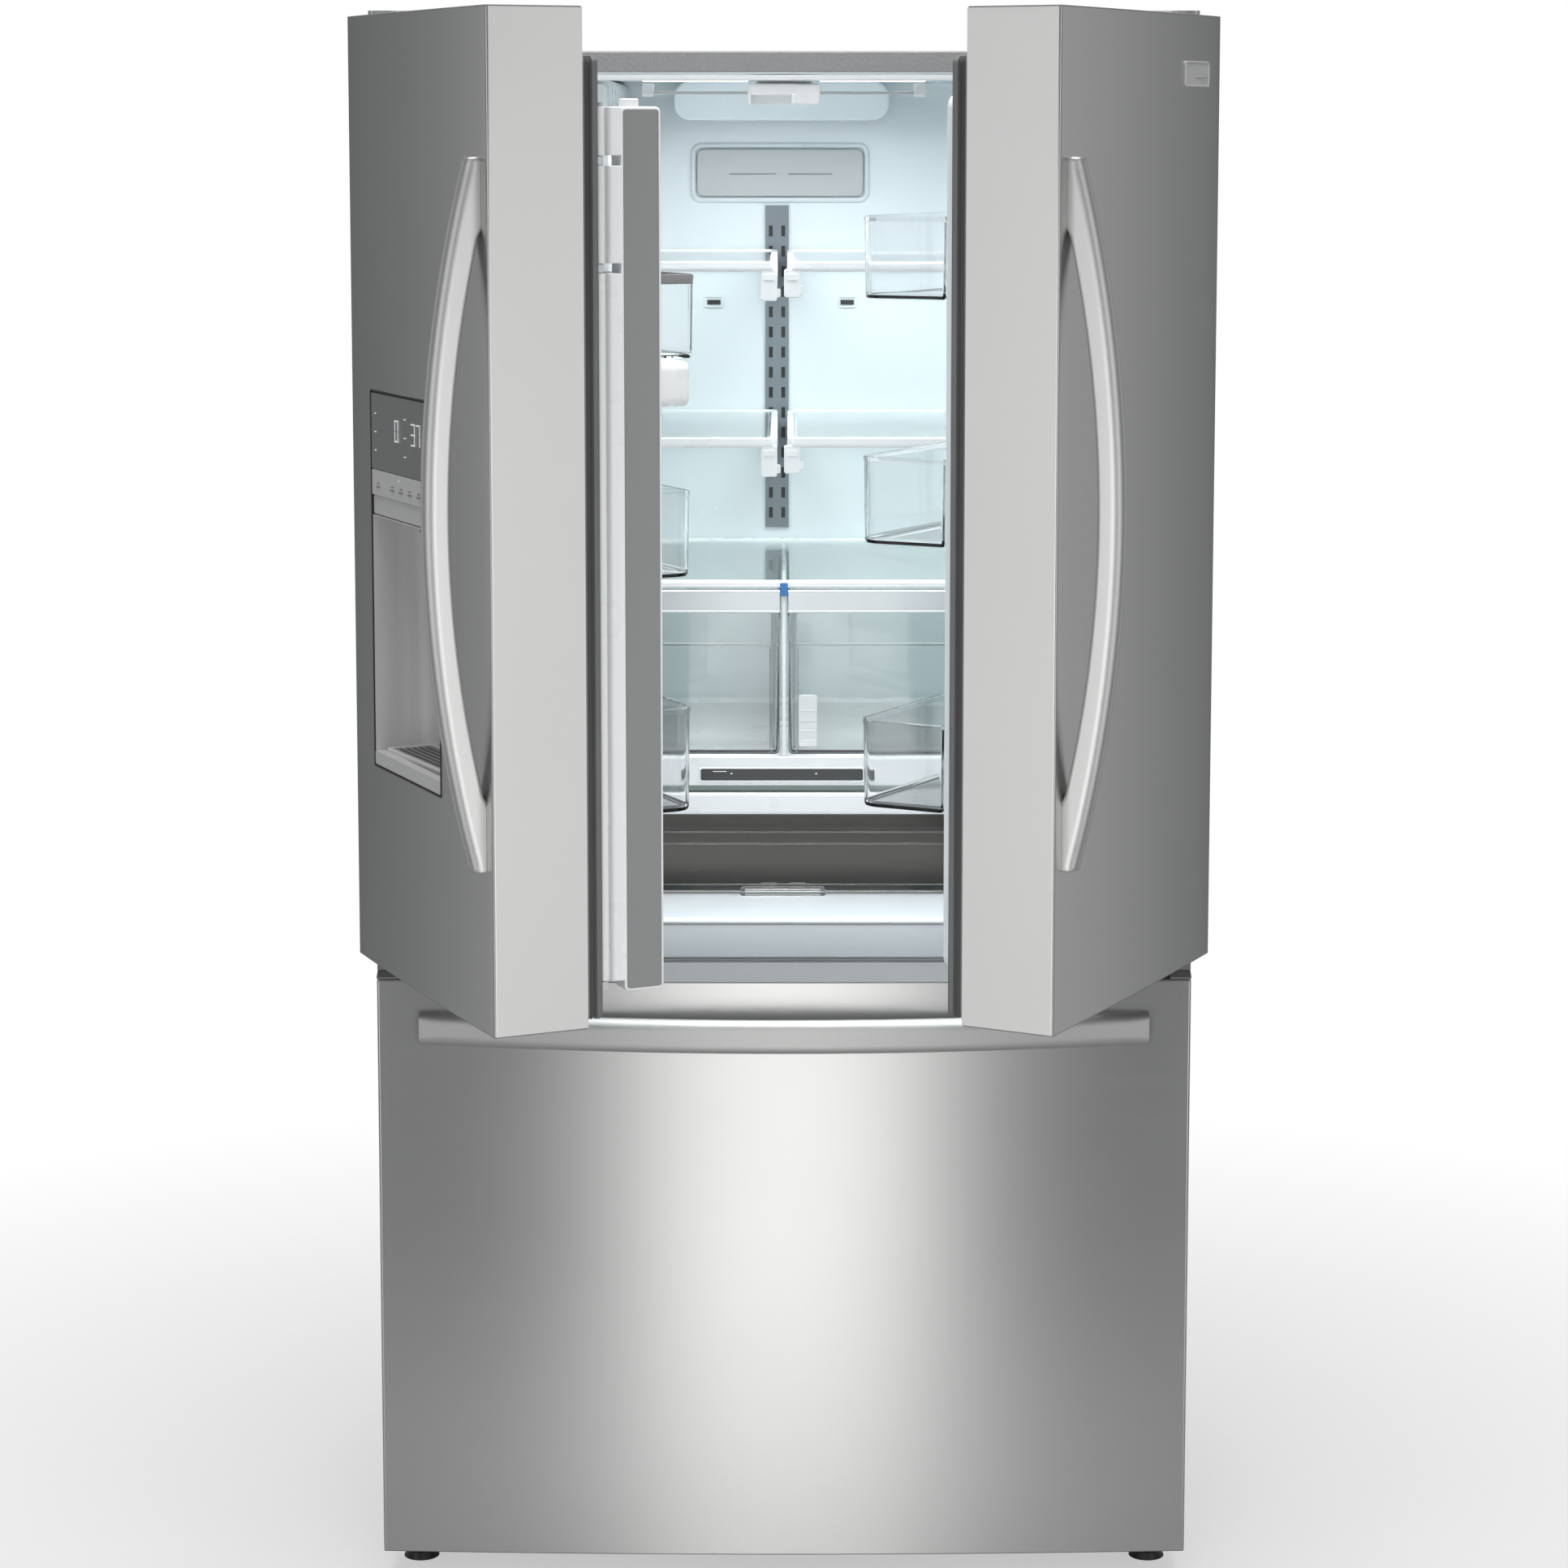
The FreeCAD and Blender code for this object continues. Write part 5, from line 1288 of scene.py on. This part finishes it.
class FRIDGE_OT_bins(PieceOperator, bpy.types.Operator):
    """Moulds the clear door bins and the left door's ice chute and covered shelf"""

    bl_idname = "fridge.bins"
    bl_label = "Door bins"

    def bin_form(self, x0, x1, z0, z1, neck, wall):
        """Bin that fills the hollow of the door, then widens over the dyke."""
        back, over = DOOR_BACK + 2, DYKE_HEIGHT + 1.2
        corners = [(neck[0], back), (neck[1], back), (neck[1], over), (x1, over), (x1, BIN_FACE),
                   (x0, BIN_FACE), (x0, over), (neck[0], over)]
        radii = [4, 4, 1.5, 5, 22, 22, 5, 1.5]
        form = Form()
        form.shell(corners, radii, 2, tub_profile(z0, z1, wall, 1.8, 0.8))
        return form

    def build(self, context):
        wall = context.scene.fridge_sizes.bin_wall / MM
        left, right = (73.5, 371.5), (73.5, 387.5)
        layout = {
            "left": [("middle", 47, 403, 1188, 1278, left), ("lower", 47, 403, 940, 1050, left)],
            "right": [("upper", 47, 410, 1478, 1564, right), ("middle", 47, 410, 1222, 1314, right),
                      ("lower", 47, 410, 943, 1036, right)],
        }
        for side, place in DOORS:
            for level, x0, x1, z0, z1, neck in layout[side]:
                settle(self.bin_form(x0, x1, z0, z1, neck, wall), side + "_" + level + "_bin",
                       side + "_door", "clear", place,
                       stands_for=[side + "_door_bins"])
        small = Form().shell(rect(292, 403, DYKE_HEIGHT + 1.2, BIN_FACE), 8, 2,
                             tub_profile(1416.5, 1504, wall, 1.8, 0.8))
        settle(small, "left_small_bin", "left_door", "clear", LEFT)
        trim = Form().shell(rect(292.5, 402.5, DYKE_HEIGHT + 1.6, BIN_FACE - 0.4), 8, 2,
                            [(1494, 0), (1503.8, 0), (1504.2, 0.5), (1504.2, 2.6), (1494, 2.6)],
                            looped=True)
        settle(trim, "left_small_bin_trim", "left_door", "grey_plastic", LEFT)
        chute = Form().shell(rect(78, 290, 1417, 1640), 16, 1, rolled(DOOR_BACK - 8, 190, 6))
        chute.shell(rect(150, 218, 1470, 1530), 30, 1, rolled(186, 194, 2))
        box = Form().shell(rect(60.5, 397.5, 1366.5, 1413.5), 10, 1,
                           rolled(DYKE_HEIGHT + 0.5, BIN_FACE - 4.5, 4))
        box.slab((120, 338), (BIN_FACE - 6, BIN_FACE - 2.5), (1384, 1396), 1, 5, 1)
        settle(chute, "ice_chute", "left_door", "white_plastic", LEFT)
        settle(box, "covered_shelf", "left_door", "white_plastic", LEFT)


class FRIDGE_OT_dispenser(PieceOperator, bpy.types.Operator):
    """Builds the ice and water dispenser: frame, display, keys, recess, paddle and drip tray"""

    bl_idname = "fridge.dispenser"
    bl_label = "Dispenser"

    SEGMENTS = {"0": "abcdef", "3": "abcdg", "7": "abc"}
    FIGURES = (("0", 160.0), ("3", 216.0), ("7", 233.0))

    def bowed_panel(self, x0, x1, z0, z1, proud, depth, radius):
        """Rounded panel that follows the door's bow."""
        profile = [(depth, 0), (-proud + 0.6, 0), (-proud, 0.6)]
        rings = [lifted(plan(rect(x0, x1, z0, z1), radius, inset, 3), 1,
                        lambda a, b, d=d: door_bow(a) + d) for d, inset in profile]
        return Form().loft(rings)

    def digit(self, form, character, x, z, high, stroke):
        """Seven-segment figure."""
        wide = high * 0.52
        mid = z + high / 2
        bars = {"a": ((x, x + wide), (z + high - stroke, z + high)),
                "d": ((x, x + wide), (z, z + stroke)),
                "g": ((x, x + wide), (mid - stroke / 2, mid + stroke / 2)),
                "f": ((x, x + stroke), (mid, z + high)), "e": ((x, x + stroke), (z, mid)),
                "b": ((x + wide - stroke, x + wide), (mid, z + high)),
                "c": ((x + wide - stroke, x + wide), (z, mid))}
        for key in self.SEGMENTS[character]:
            (a0, a1), (b0, b1) = bars[key]
            y = door_bow((a0 + a1) / 2) - 0.75
            form.slab((a0 + 0.3, a1 - 0.3), (y, y + 0.4), (b0 + 0.3, b1 - 0.3), 1, 0.5, 0.1)

    def build(self, context):
        x0, x1, z0, z1 = PANEL_LEFT, PANEL_RIGHT, PANEL_BOTTOM, PANEL_TOP
        frame_rings = []
        for depth, inset in ((6, 0), (-0.4, 0), (-0.9, 0.5), (-0.9, 1.8), (-0.4, 2.3), (6, 2.3)):
            frame_rings.append(lifted(plan(rect(x0, x1, z0, z1), 3, inset, 4), 1,
                                      lambda a, b, d=depth: door_bow(a) + d))
        settle(Form().loft(frame_rings, looped=True), "dispenser_frame", "left_door",
               "black_plastic", LEFT, stands_for=["dispenser_housing"])
        glass = self.bowed_panel(x0 + 3, x1 - 3, 1285.5, z1 - 3, 0.3, 3, 2)
        settle(glass, "display_window", "left_door", "display_glass", LEFT,
               stands_for=["display_panel"])
        keys = self.bowed_panel(x0 + 3, x1 - 3, 1257, 1285, 0.3, 3, 2)
        settle(keys, "key_strip", "left_door", "silver_plastic", LEFT)
        hood = self.bowed_panel(x0 + 3, x1 - 3, 1236, 1256.4, -1.5, 7, 3)
        settle(hood, "recess_hood", "left_door", "silver_plastic", LEFT)
        figures = Form()
        for character, x in self.FIGURES:
            self.digit(figures, character, x, z=1320.0, high=24.0, stroke=2.0)
        for x in (88, 192):
            for z in (1306, 1326, 1346):
                y = door_bow(x) - 0.75
                figures.slab((x, x + 5), (y, y + 0.4), (z, z + 1.2), 1, 0.3, 0.1)
        y = door_bow(170) - 0.75
        figures.slab((170, 171.6), (y, y + 0.4), (1278, 1279.6), 1, 0.5, 0.1)
        settle(figures, "display_figures", "left_door", "digits", LEFT)
        marks = Form()
        for x in (92, 142, 172, 202, 232, 262):
            y = door_bow(x) - 0.75
            marks.slab((x, x + 12), (y, y + 0.4), (1266, 1267.4), 0, 0.3, 0.1)
            marks.slab((x + 3, x + 9), (y, y + 0.4), (1270, 1271.2), 0, 0.3, 0.1)
        settle(marks, "key_marks", "left_door", "grey_plastic", LEFT)

        recess = Form()
        levels = [(965, 14), (967, 8), (972, 3), (980, 0), (1080, 0), (1200, 0), (1226, 2),
                  (1234, 8)]
        rings = []
        for z, inset in levels:
            corners = [(x0 + 3.2 + inset * 0.2, 4), (x0 + 3.2 + inset * 0.2, 66 - inset),
                       (x1 - 3.2 - inset * 0.2, 66 - inset), (x1 - 3.2 - inset * 0.2, 4)]
            outline = plan(list(reversed(corners)), [1, 46, 46, 1], 0, 9)
            open_line = [p for p in outline if p.y > 5.2]
            front = [(x1 - 3.2, door_bow(x1) + 0.5), *[(p.x, p.y) for p in open_line],
                     (x0 + 3.2, door_bow(x0) + 0.5)]
            rings.append([(a, b, z) for a, b in front])
        recess.loft(rings, ends=True, closed=False)
        settle(recess, "dispenser_recess", "left_door", "silver_plastic", LEFT,
               wall=1.2, outside=(187, -400, 1100))
        lip = self.bowed_panel(x0 + 3, x1 - 3, z0 + 2.6, 974, 0.3, 10, 2)
        settle(lip, "recess_lip", "left_door", "silver_plastic", LEFT)
        middle = (x0 + x1) / 2
        spout = Form()
        spout.rod(19, (middle, 30, 1224), (middle, 30, 1236), 28, 1)
        spout.rod(14.5, (middle, 30, 1214), (middle, 30, 1225), 28, 2)
        for x in (middle - 32, middle + 28):
            spout.slab((x, x + 4), (38, 66), (1200, 1212), 0, 1, 0.6)
        settle(spout, "dispenser_spout", "left_door", "grey_plastic", LEFT)

        paddle = Form()
        rings = []
        for k in range(13):
            z = 1091 + 113 * k / 12
            curve = 1.6 * math.sin(math.pi * k / 12)
            corners = rect(middle - 21.5, middle + 21.5, 47 + curve, 49.6 + curve)
            inset = 0.8 if k in (0, 12) else 0.0
            rings.append([(a, b, z) for a, b in plan(corners, 1.2, inset, 3)])
        paddle.loft(rings)
        paddle.rod(4.8, (middle - 27, 44, 1206), (middle + 27, 44, 1206))
        paddle.slab((middle - 19, middle + 19), (44, 49), (1198, 1206), 0, 1, 0.6)
        settle(paddle, "dispenser_lever", "dispenser_paddle", "grey_plastic", LEFT,
               stands_for=["dispenser_paddle"])

        pan = Form().shell(rect(x0 + 16.5, x1 - 16.5, 4, 59.5), 4, 2,
                           [(966.5, 1), (977, 0), (978, 0.8), (978, 4.5), (977.4, 5), (969, 5)])
        settle(pan, "tray_pan", "left_door", "silver_plastic", LEFT,
               stands_for=["drip_tray"])
        slat = Form().slab((x0 + 21, x1 - 21), (11, 14), (973, 977.4), 0, 1, 0.6)
        settle(slat, "tray_slats", "left_door", "grey_plastic", LEFT,
               columns=(6, (0, 7.6, 0)))


class FRIDGE_OT_mullion(PieceOperator, bpy.types.Operator):
    """Builds the folding post on the left door with its plate, knuckles and hinge pin"""

    bl_idname = "fridge.mullion"
    bl_label = "Mullion"

    def build(self, context):
        face, bottom, top = 435.7, 762.0, 1676.0
        bar = Form()
        profile = [(face - 28, 3), (face - 27, 1), (face - 24, 0), (face - 2.4, 0),
                   (face - 0.8, 0.6), (face - 0.1, 1.8), (face - 0.1, 2.8), (face - 1.4, 3.0)]
        bar.shell(rect(140, 185, bottom, top), 6, 0, profile)
        pivot = (424.0, 122.0)
        for low, high in ((bottom + 12, 1507.5), (1517.5, 1616.5), (1626.5, top - 0.3)):
            corners = rect(face - 19, face - 0.2, 125, 142)
            bar.shell(corners, [6, 6, 0.5, 0.5], 2, rolled(low, high, 1.2))
            bar.rod(6.4, (*pivot, low), (*pivot, high), 20)
        bar.slab((face - 15, face - 3.5), (143, 163), (top - 2, top + 8), 2, 4.5, 1.5)
        settle(bar, "mullion_post", "mullion", "white_plastic", LEFT,
               stands_for=["mullion_body"])
        plate = Form().shell(rect(143.2, 181.8, bottom + 3.2, top - 3.2), 3, 0,
                             [(face - 1.5, 0), (face - 0.35, 0), (face - 0.05, 0.4)])
        settle(plate, "mullion_plate", "mullion", "mullion_plate", LEFT,
               stands_for=["mullion_face"])
        dress("mullion_hinges", "galvanised")


class FRIDGE_OT_badge(PieceOperator, bpy.types.Operator):
    """Presses the blank badge plate with its dividing line"""

    bl_idname = "fridge.badge"
    bl_label = "Badge plate"

    def build(self, context):
        corners = rect(41.2, 116.8, 1698.2, 1725.8)
        profile = [(0.3, 0), (-1.3, 0), (-1.9, 0.5), (-1.9, 1.6), (-1.3, 2.1)]
        rings = [lifted(plan(corners, 3, inset, 4), 1, lambda a, b, d=depth: door_bow(a) + d)
                 for depth, inset in profile]
        settle(Form().loft(rings), "badge_plate", "right_door", "badge_plate", RIGHT,
               stands_for=["badge"])
        line = Form()
        y = door_bow(79) - 1.5
        line.slab((49, 109), (y, y + 0.4), (1707.6, 1708.2), 0, 0.2, 0.1)
        settle(line, "badge_line", "right_door", "grey_plastic", RIGHT)


# ---------------------------------------------------------------- freezer drawer
class FRIDGE_OT_freezer(PieceOperator, bpy.types.Operator):
    """Builds the freezer drawer front, its inner panel, slides and basket"""

    bl_idname = "fridge.freezer"
    bl_label = "Freezer drawer"

    def build(self, context):
        sizes = context.scene.fridge_sizes
        radius = sizes.steel_edge / MM
        front = Form()
        bowed_front(front, -HALF, HALF, DRAWER_BOTTOM + 1.6, DRAWER_TOP - 1.6, radius, bow_y,
                    DOOR_BACK - 0.3)
        settle(front, "drawer_front", "freezer_drawer", "steel_front",
               wall=1.5, outside=(0, -9000, 400), stands_for=["drawer_skin"])
        caps = Form()
        for low in (DRAWER_BOTTOM, DRAWER_TOP - 2):
            bowed_lid(caps, 0.6 - HALF, HALF - 0.6, low, low + 2,
                      lambda x: bow_y(x) + 0.7, DOOR_BACK - 1)
        settle(caps, "drawer_caps", "freezer_drawer", "grey_plastic")
        panel = Form()
        flange = rect(0.3 - HALF, HALF - 0.3, DRAWER_BOTTOM + 1, DRAWER_TOP - 1)
        rings = [lifted(plan(flange, 2, inset), 1, depth) for depth, inset in
                 ((DOOR_BACK - 4, 0), (DOOR_BACK - 0.8, 0), (DOOR_BACK, 0.8))]
        plug = rect(-398, 398, 118, 642)
        rings += [lifted(plan(plug, 16, inset), 1, depth) for depth, inset in
                  ((DOOR_BACK, -4), (DOOR_BACK + 1, -1), (DOOR_BACK + 4, 0), (114, 1), (117, 2.5),
                   (118, 6), (118, 40), (117, 43), (114, 45), (112, 47), (111.5, 50))]
        panel.loft(rings)
        settle(panel, "drawer_panel", "freezer_drawer", "liner",
               stands_for=["drawer_liner"])
        dress("freezer_rails", "galvanised")
        dress("drawer_slides", "galvanised")
        wall = sizes.bin_wall / MM
        basket = Form().shell(rect(-399, 399, 124, 546), 24, 2,
                              tub_profile(130.5, 599.5, wall, 6, 4))
        basket.slab((-340, 340), (124.5, 128), (560, 590), 1, 6, 1)
        settle(basket, "basket_tub", "freezer_drawer", "white_plastic",
               stands_for=["freezer_basket"])
        rib = Form().slab((-360, -356), (540, 543.6), (170, 560), 2, 1.4, 1)
        settle(rib, "basket_ribs", "freezer_drawer", "white_plastic",
               columns=(19, (40, 0, 0)))


# ---------------------------------------------------------------- stage
class FRIDGE_OT_stage(PieceOperator, bpy.types.Operator):
    """Sets the pale floor, the soft studio lights and the camera"""

    bl_idname = "fridge.stage"
    bl_label = "Stage"

    BACK_SHARE = 1.4
    COOL_WHITE = (0.94, 0.975, 1.0)
    INNER_LAMPS = (("inner", 0.13, 1.66, (0.62, 0.34), 1.0), ("lower", 0.1, 1.238, (0.7, 0.3), 0.4),
                   ("pantry", 0.3, 0.868, (0.7, 0.2), 0.14))
    FLOOR_RADIUS = 7.0
    FLOOR_SIDES = 96

    def soft_box(self, name, location, target, size, brightness):
        """Rectangular lamp that faces a target; the camera doesn't see it."""
        data = bpy.data.lights.new(name, "AREA")
        data.shape = "RECTANGLE"
        data.size, data.size_y = size
        data.energy = brightness * math.pi * size[0] * size[1]
        lamp = bpy.data.objects.new(name, data)
        lamp.location = location
        aim = Vector(target) - Vector(location)
        lamp.rotation_euler = aim.to_track_quat("-Z", "Y").to_euler()
        lamp.visible_camera = False
        bpy.context.scene.collection.objects.link(lamp)
        return lamp

    def floor(self):
        """Pale floor that fades into the surround."""
        turns = [2 * math.pi * k / self.FLOOR_SIDES for k in range(self.FLOOR_SIDES)]
        form = Form().loft([[(r * math.cos(t), r * math.sin(t), 0) for t in turns]
                            for r in (0.001, 0.5, 1.5, 3.0, self.FLOOR_RADIUS)], ends=False)
        mesh = bpy.data.meshes.new("floor")
        mesh.from_pydata(form.points, [], form.faces)
        mesh.shade_smooth()
        floor = bpy.data.objects.new("floor", mesh)
        bpy.context.scene.collection.objects.link(floor)
        finish = Finish("floor")
        speck = finish.noise(40.0, detail=3.0)
        reach = finish.node("ShaderNodeVectorMath", {"operation": "LENGTH"}, finish.place,
                            output="Value")
        fade = finish.node("ShaderNodeMapRange", {}, Value=reach, From_Min=0.45, From_Max=2.0)
        finish.set(Base_Color=finish.shades(speck, (0.86, 0.86, 0.86), 0.02), Roughness=0.6,
                   Alpha=(1.0 - fade) * 0.5)
        mesh.materials.append(finish.material)

    def surround(self, strength):
        """Even light for the object; the camera sees a plain pale ground."""
        world = bpy.data.worlds.new("surround")
        bpy.context.scene.world = world
        world.use_nodes = True
        nodes, links = world.node_tree.nodes, world.node_tree.links
        nodes.clear()
        output = nodes.new("ShaderNodeOutputWorld")
        mix = nodes.new("ShaderNodeMixShader")
        path = nodes.new("ShaderNodeLightPath")
        lit, seen = nodes.new("ShaderNodeBackground"), nodes.new("ShaderNodeBackground")
        lit.inputs["Color"].default_value = (0.93, 0.96, 1.0, 1.0)
        lit.inputs["Strength"].default_value = strength
        seen.inputs["Color"].default_value = (1.0, 1.0, 1.0, 1.0)
        seen.inputs["Strength"].default_value = 1.0
        links.new(path.outputs["Is Camera Ray"], mix.inputs[0])
        links.new(lit.outputs[0], mix.inputs[1])
        links.new(seen.outputs[0], mix.inputs[2])
        links.new(mix.outputs[0], output.inputs[0])

    def build(self, context):
        stage = context.scene.fridge_stage
        context.scene.view_settings.view_transform = "Standard"
        self.floor()
        self.surround(stage.surround)
        self.soft_box("strip", (0, -1.45, 0.2), (0, 0, 0.2), (0.5, 2.8), stage.strip)
        for sign, name in ((-1, "left"), (1, "right")):
            self.soft_box(name + "_key", (sign * 2.15, -2.5, 0.9), (-sign * 0.3, -0.6, 0.9),
                          (1.5, 3.6), stage.key)
            self.soft_box(name + "_side", (sign * 2.9, 1.0, 0.9), (sign * 0.4, -0.4, 0.9),
                          (1.2, 3.6), stage.side)
        self.soft_box("top", (0, -0.6, 3.6), (0, -0.2, 1.0), (2.4, 1.6), stage.top)
        self.soft_box("back", (0, 3.8, 1.9), (0, 0.6, 0.9), (1.8, 2.2),
                      stage.key * self.BACK_SHARE)
        for name, y, z, size, share in self.INNER_LAMPS:
            lamp = self.soft_box(name, (0, y, z), (0, y, 0), size, stage.inner * share)
            lamp.data.color = self.COOL_WHITE

        data = bpy.data.cameras.new("camera")
        data.sensor_width = 36.0
        data.lens = stage.lens
        data.shift_y = stage.shift
        camera = bpy.data.objects.new("camera", data)
        camera.location = (0.0, FRONT * MM - stage.distance, stage.height)
        camera.rotation_euler = (math.pi / 2 - stage.pitch, 0.0, 0.0)
        context.scene.collection.objects.link(camera)
        context.scene.camera = camera


# ---------------------------------------------------------------- panel and registration
STEPS = (
    FRIDGE_OT_stage, FRIDGE_OT_wrap, FRIDGE_OT_back, FRIDGE_OT_base, FRIDGE_OT_tubs,
    FRIDGE_OT_ceiling, FRIDGE_OT_shelves, FRIDGE_OT_drawers, FRIDGE_OT_door_skins,
    FRIDGE_OT_door_panels, FRIDGE_OT_handles, FRIDGE_OT_bins, FRIDGE_OT_dispenser,
    FRIDGE_OT_mullion, FRIDGE_OT_badge, FRIDGE_OT_freezer,
)
GROUPS = (FridgeSizes, FridgeColours, FridgeStage)


class FRIDGE_PT_build(bpy.types.Panel):
    """Lists the settings and every build step"""

    bl_idname = "FRIDGE_PT_build"
    bl_label = "Refrigerator"
    bl_space_type = "VIEW_3D"
    bl_region_type = "UI"
    bl_category = "Refrigerator"

    def draw(self, context):
        for name in ("fridge_sizes", "fridge_colours", "fridge_stage"):
            group = getattr(context.scene, name)
            column = self.layout.column(align=True)
            for key in group.__annotations__:
                column.prop(group, key)
        for step in STEPS:
            self.layout.operator(step.bl_idname)


def register():
    """Registers the settings, the steps and the panel."""
    for group in GROUPS:
        bpy.utils.register_class(group)
    bpy.types.Scene.fridge_sizes = bpy.props.PointerProperty(type=FridgeSizes)
    bpy.types.Scene.fridge_colours = bpy.props.PointerProperty(type=FridgeColours)
    bpy.types.Scene.fridge_stage = bpy.props.PointerProperty(type=FridgeStage)
    for step in STEPS:
        bpy.utils.register_class(step)
    bpy.utils.register_class(FRIDGE_PT_build)


def unregister():
    """Takes everything back out."""
    bpy.utils.unregister_class(FRIDGE_PT_build)
    for step in reversed(STEPS):
        bpy.utils.unregister_class(step)
    for name in ("fridge_stage", "fridge_colours", "fridge_sizes"):
        delattr(bpy.types.Scene, name)
    for group in reversed(GROUPS):
        bpy.utils.unregister_class(group)


def main():
    """Registers the add-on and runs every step."""
    register()
    for step in STEPS:
        family, name = step.bl_idname.split(".")
        getattr(getattr(bpy.ops, family), name)()


if __name__ == "__main__":
    main()
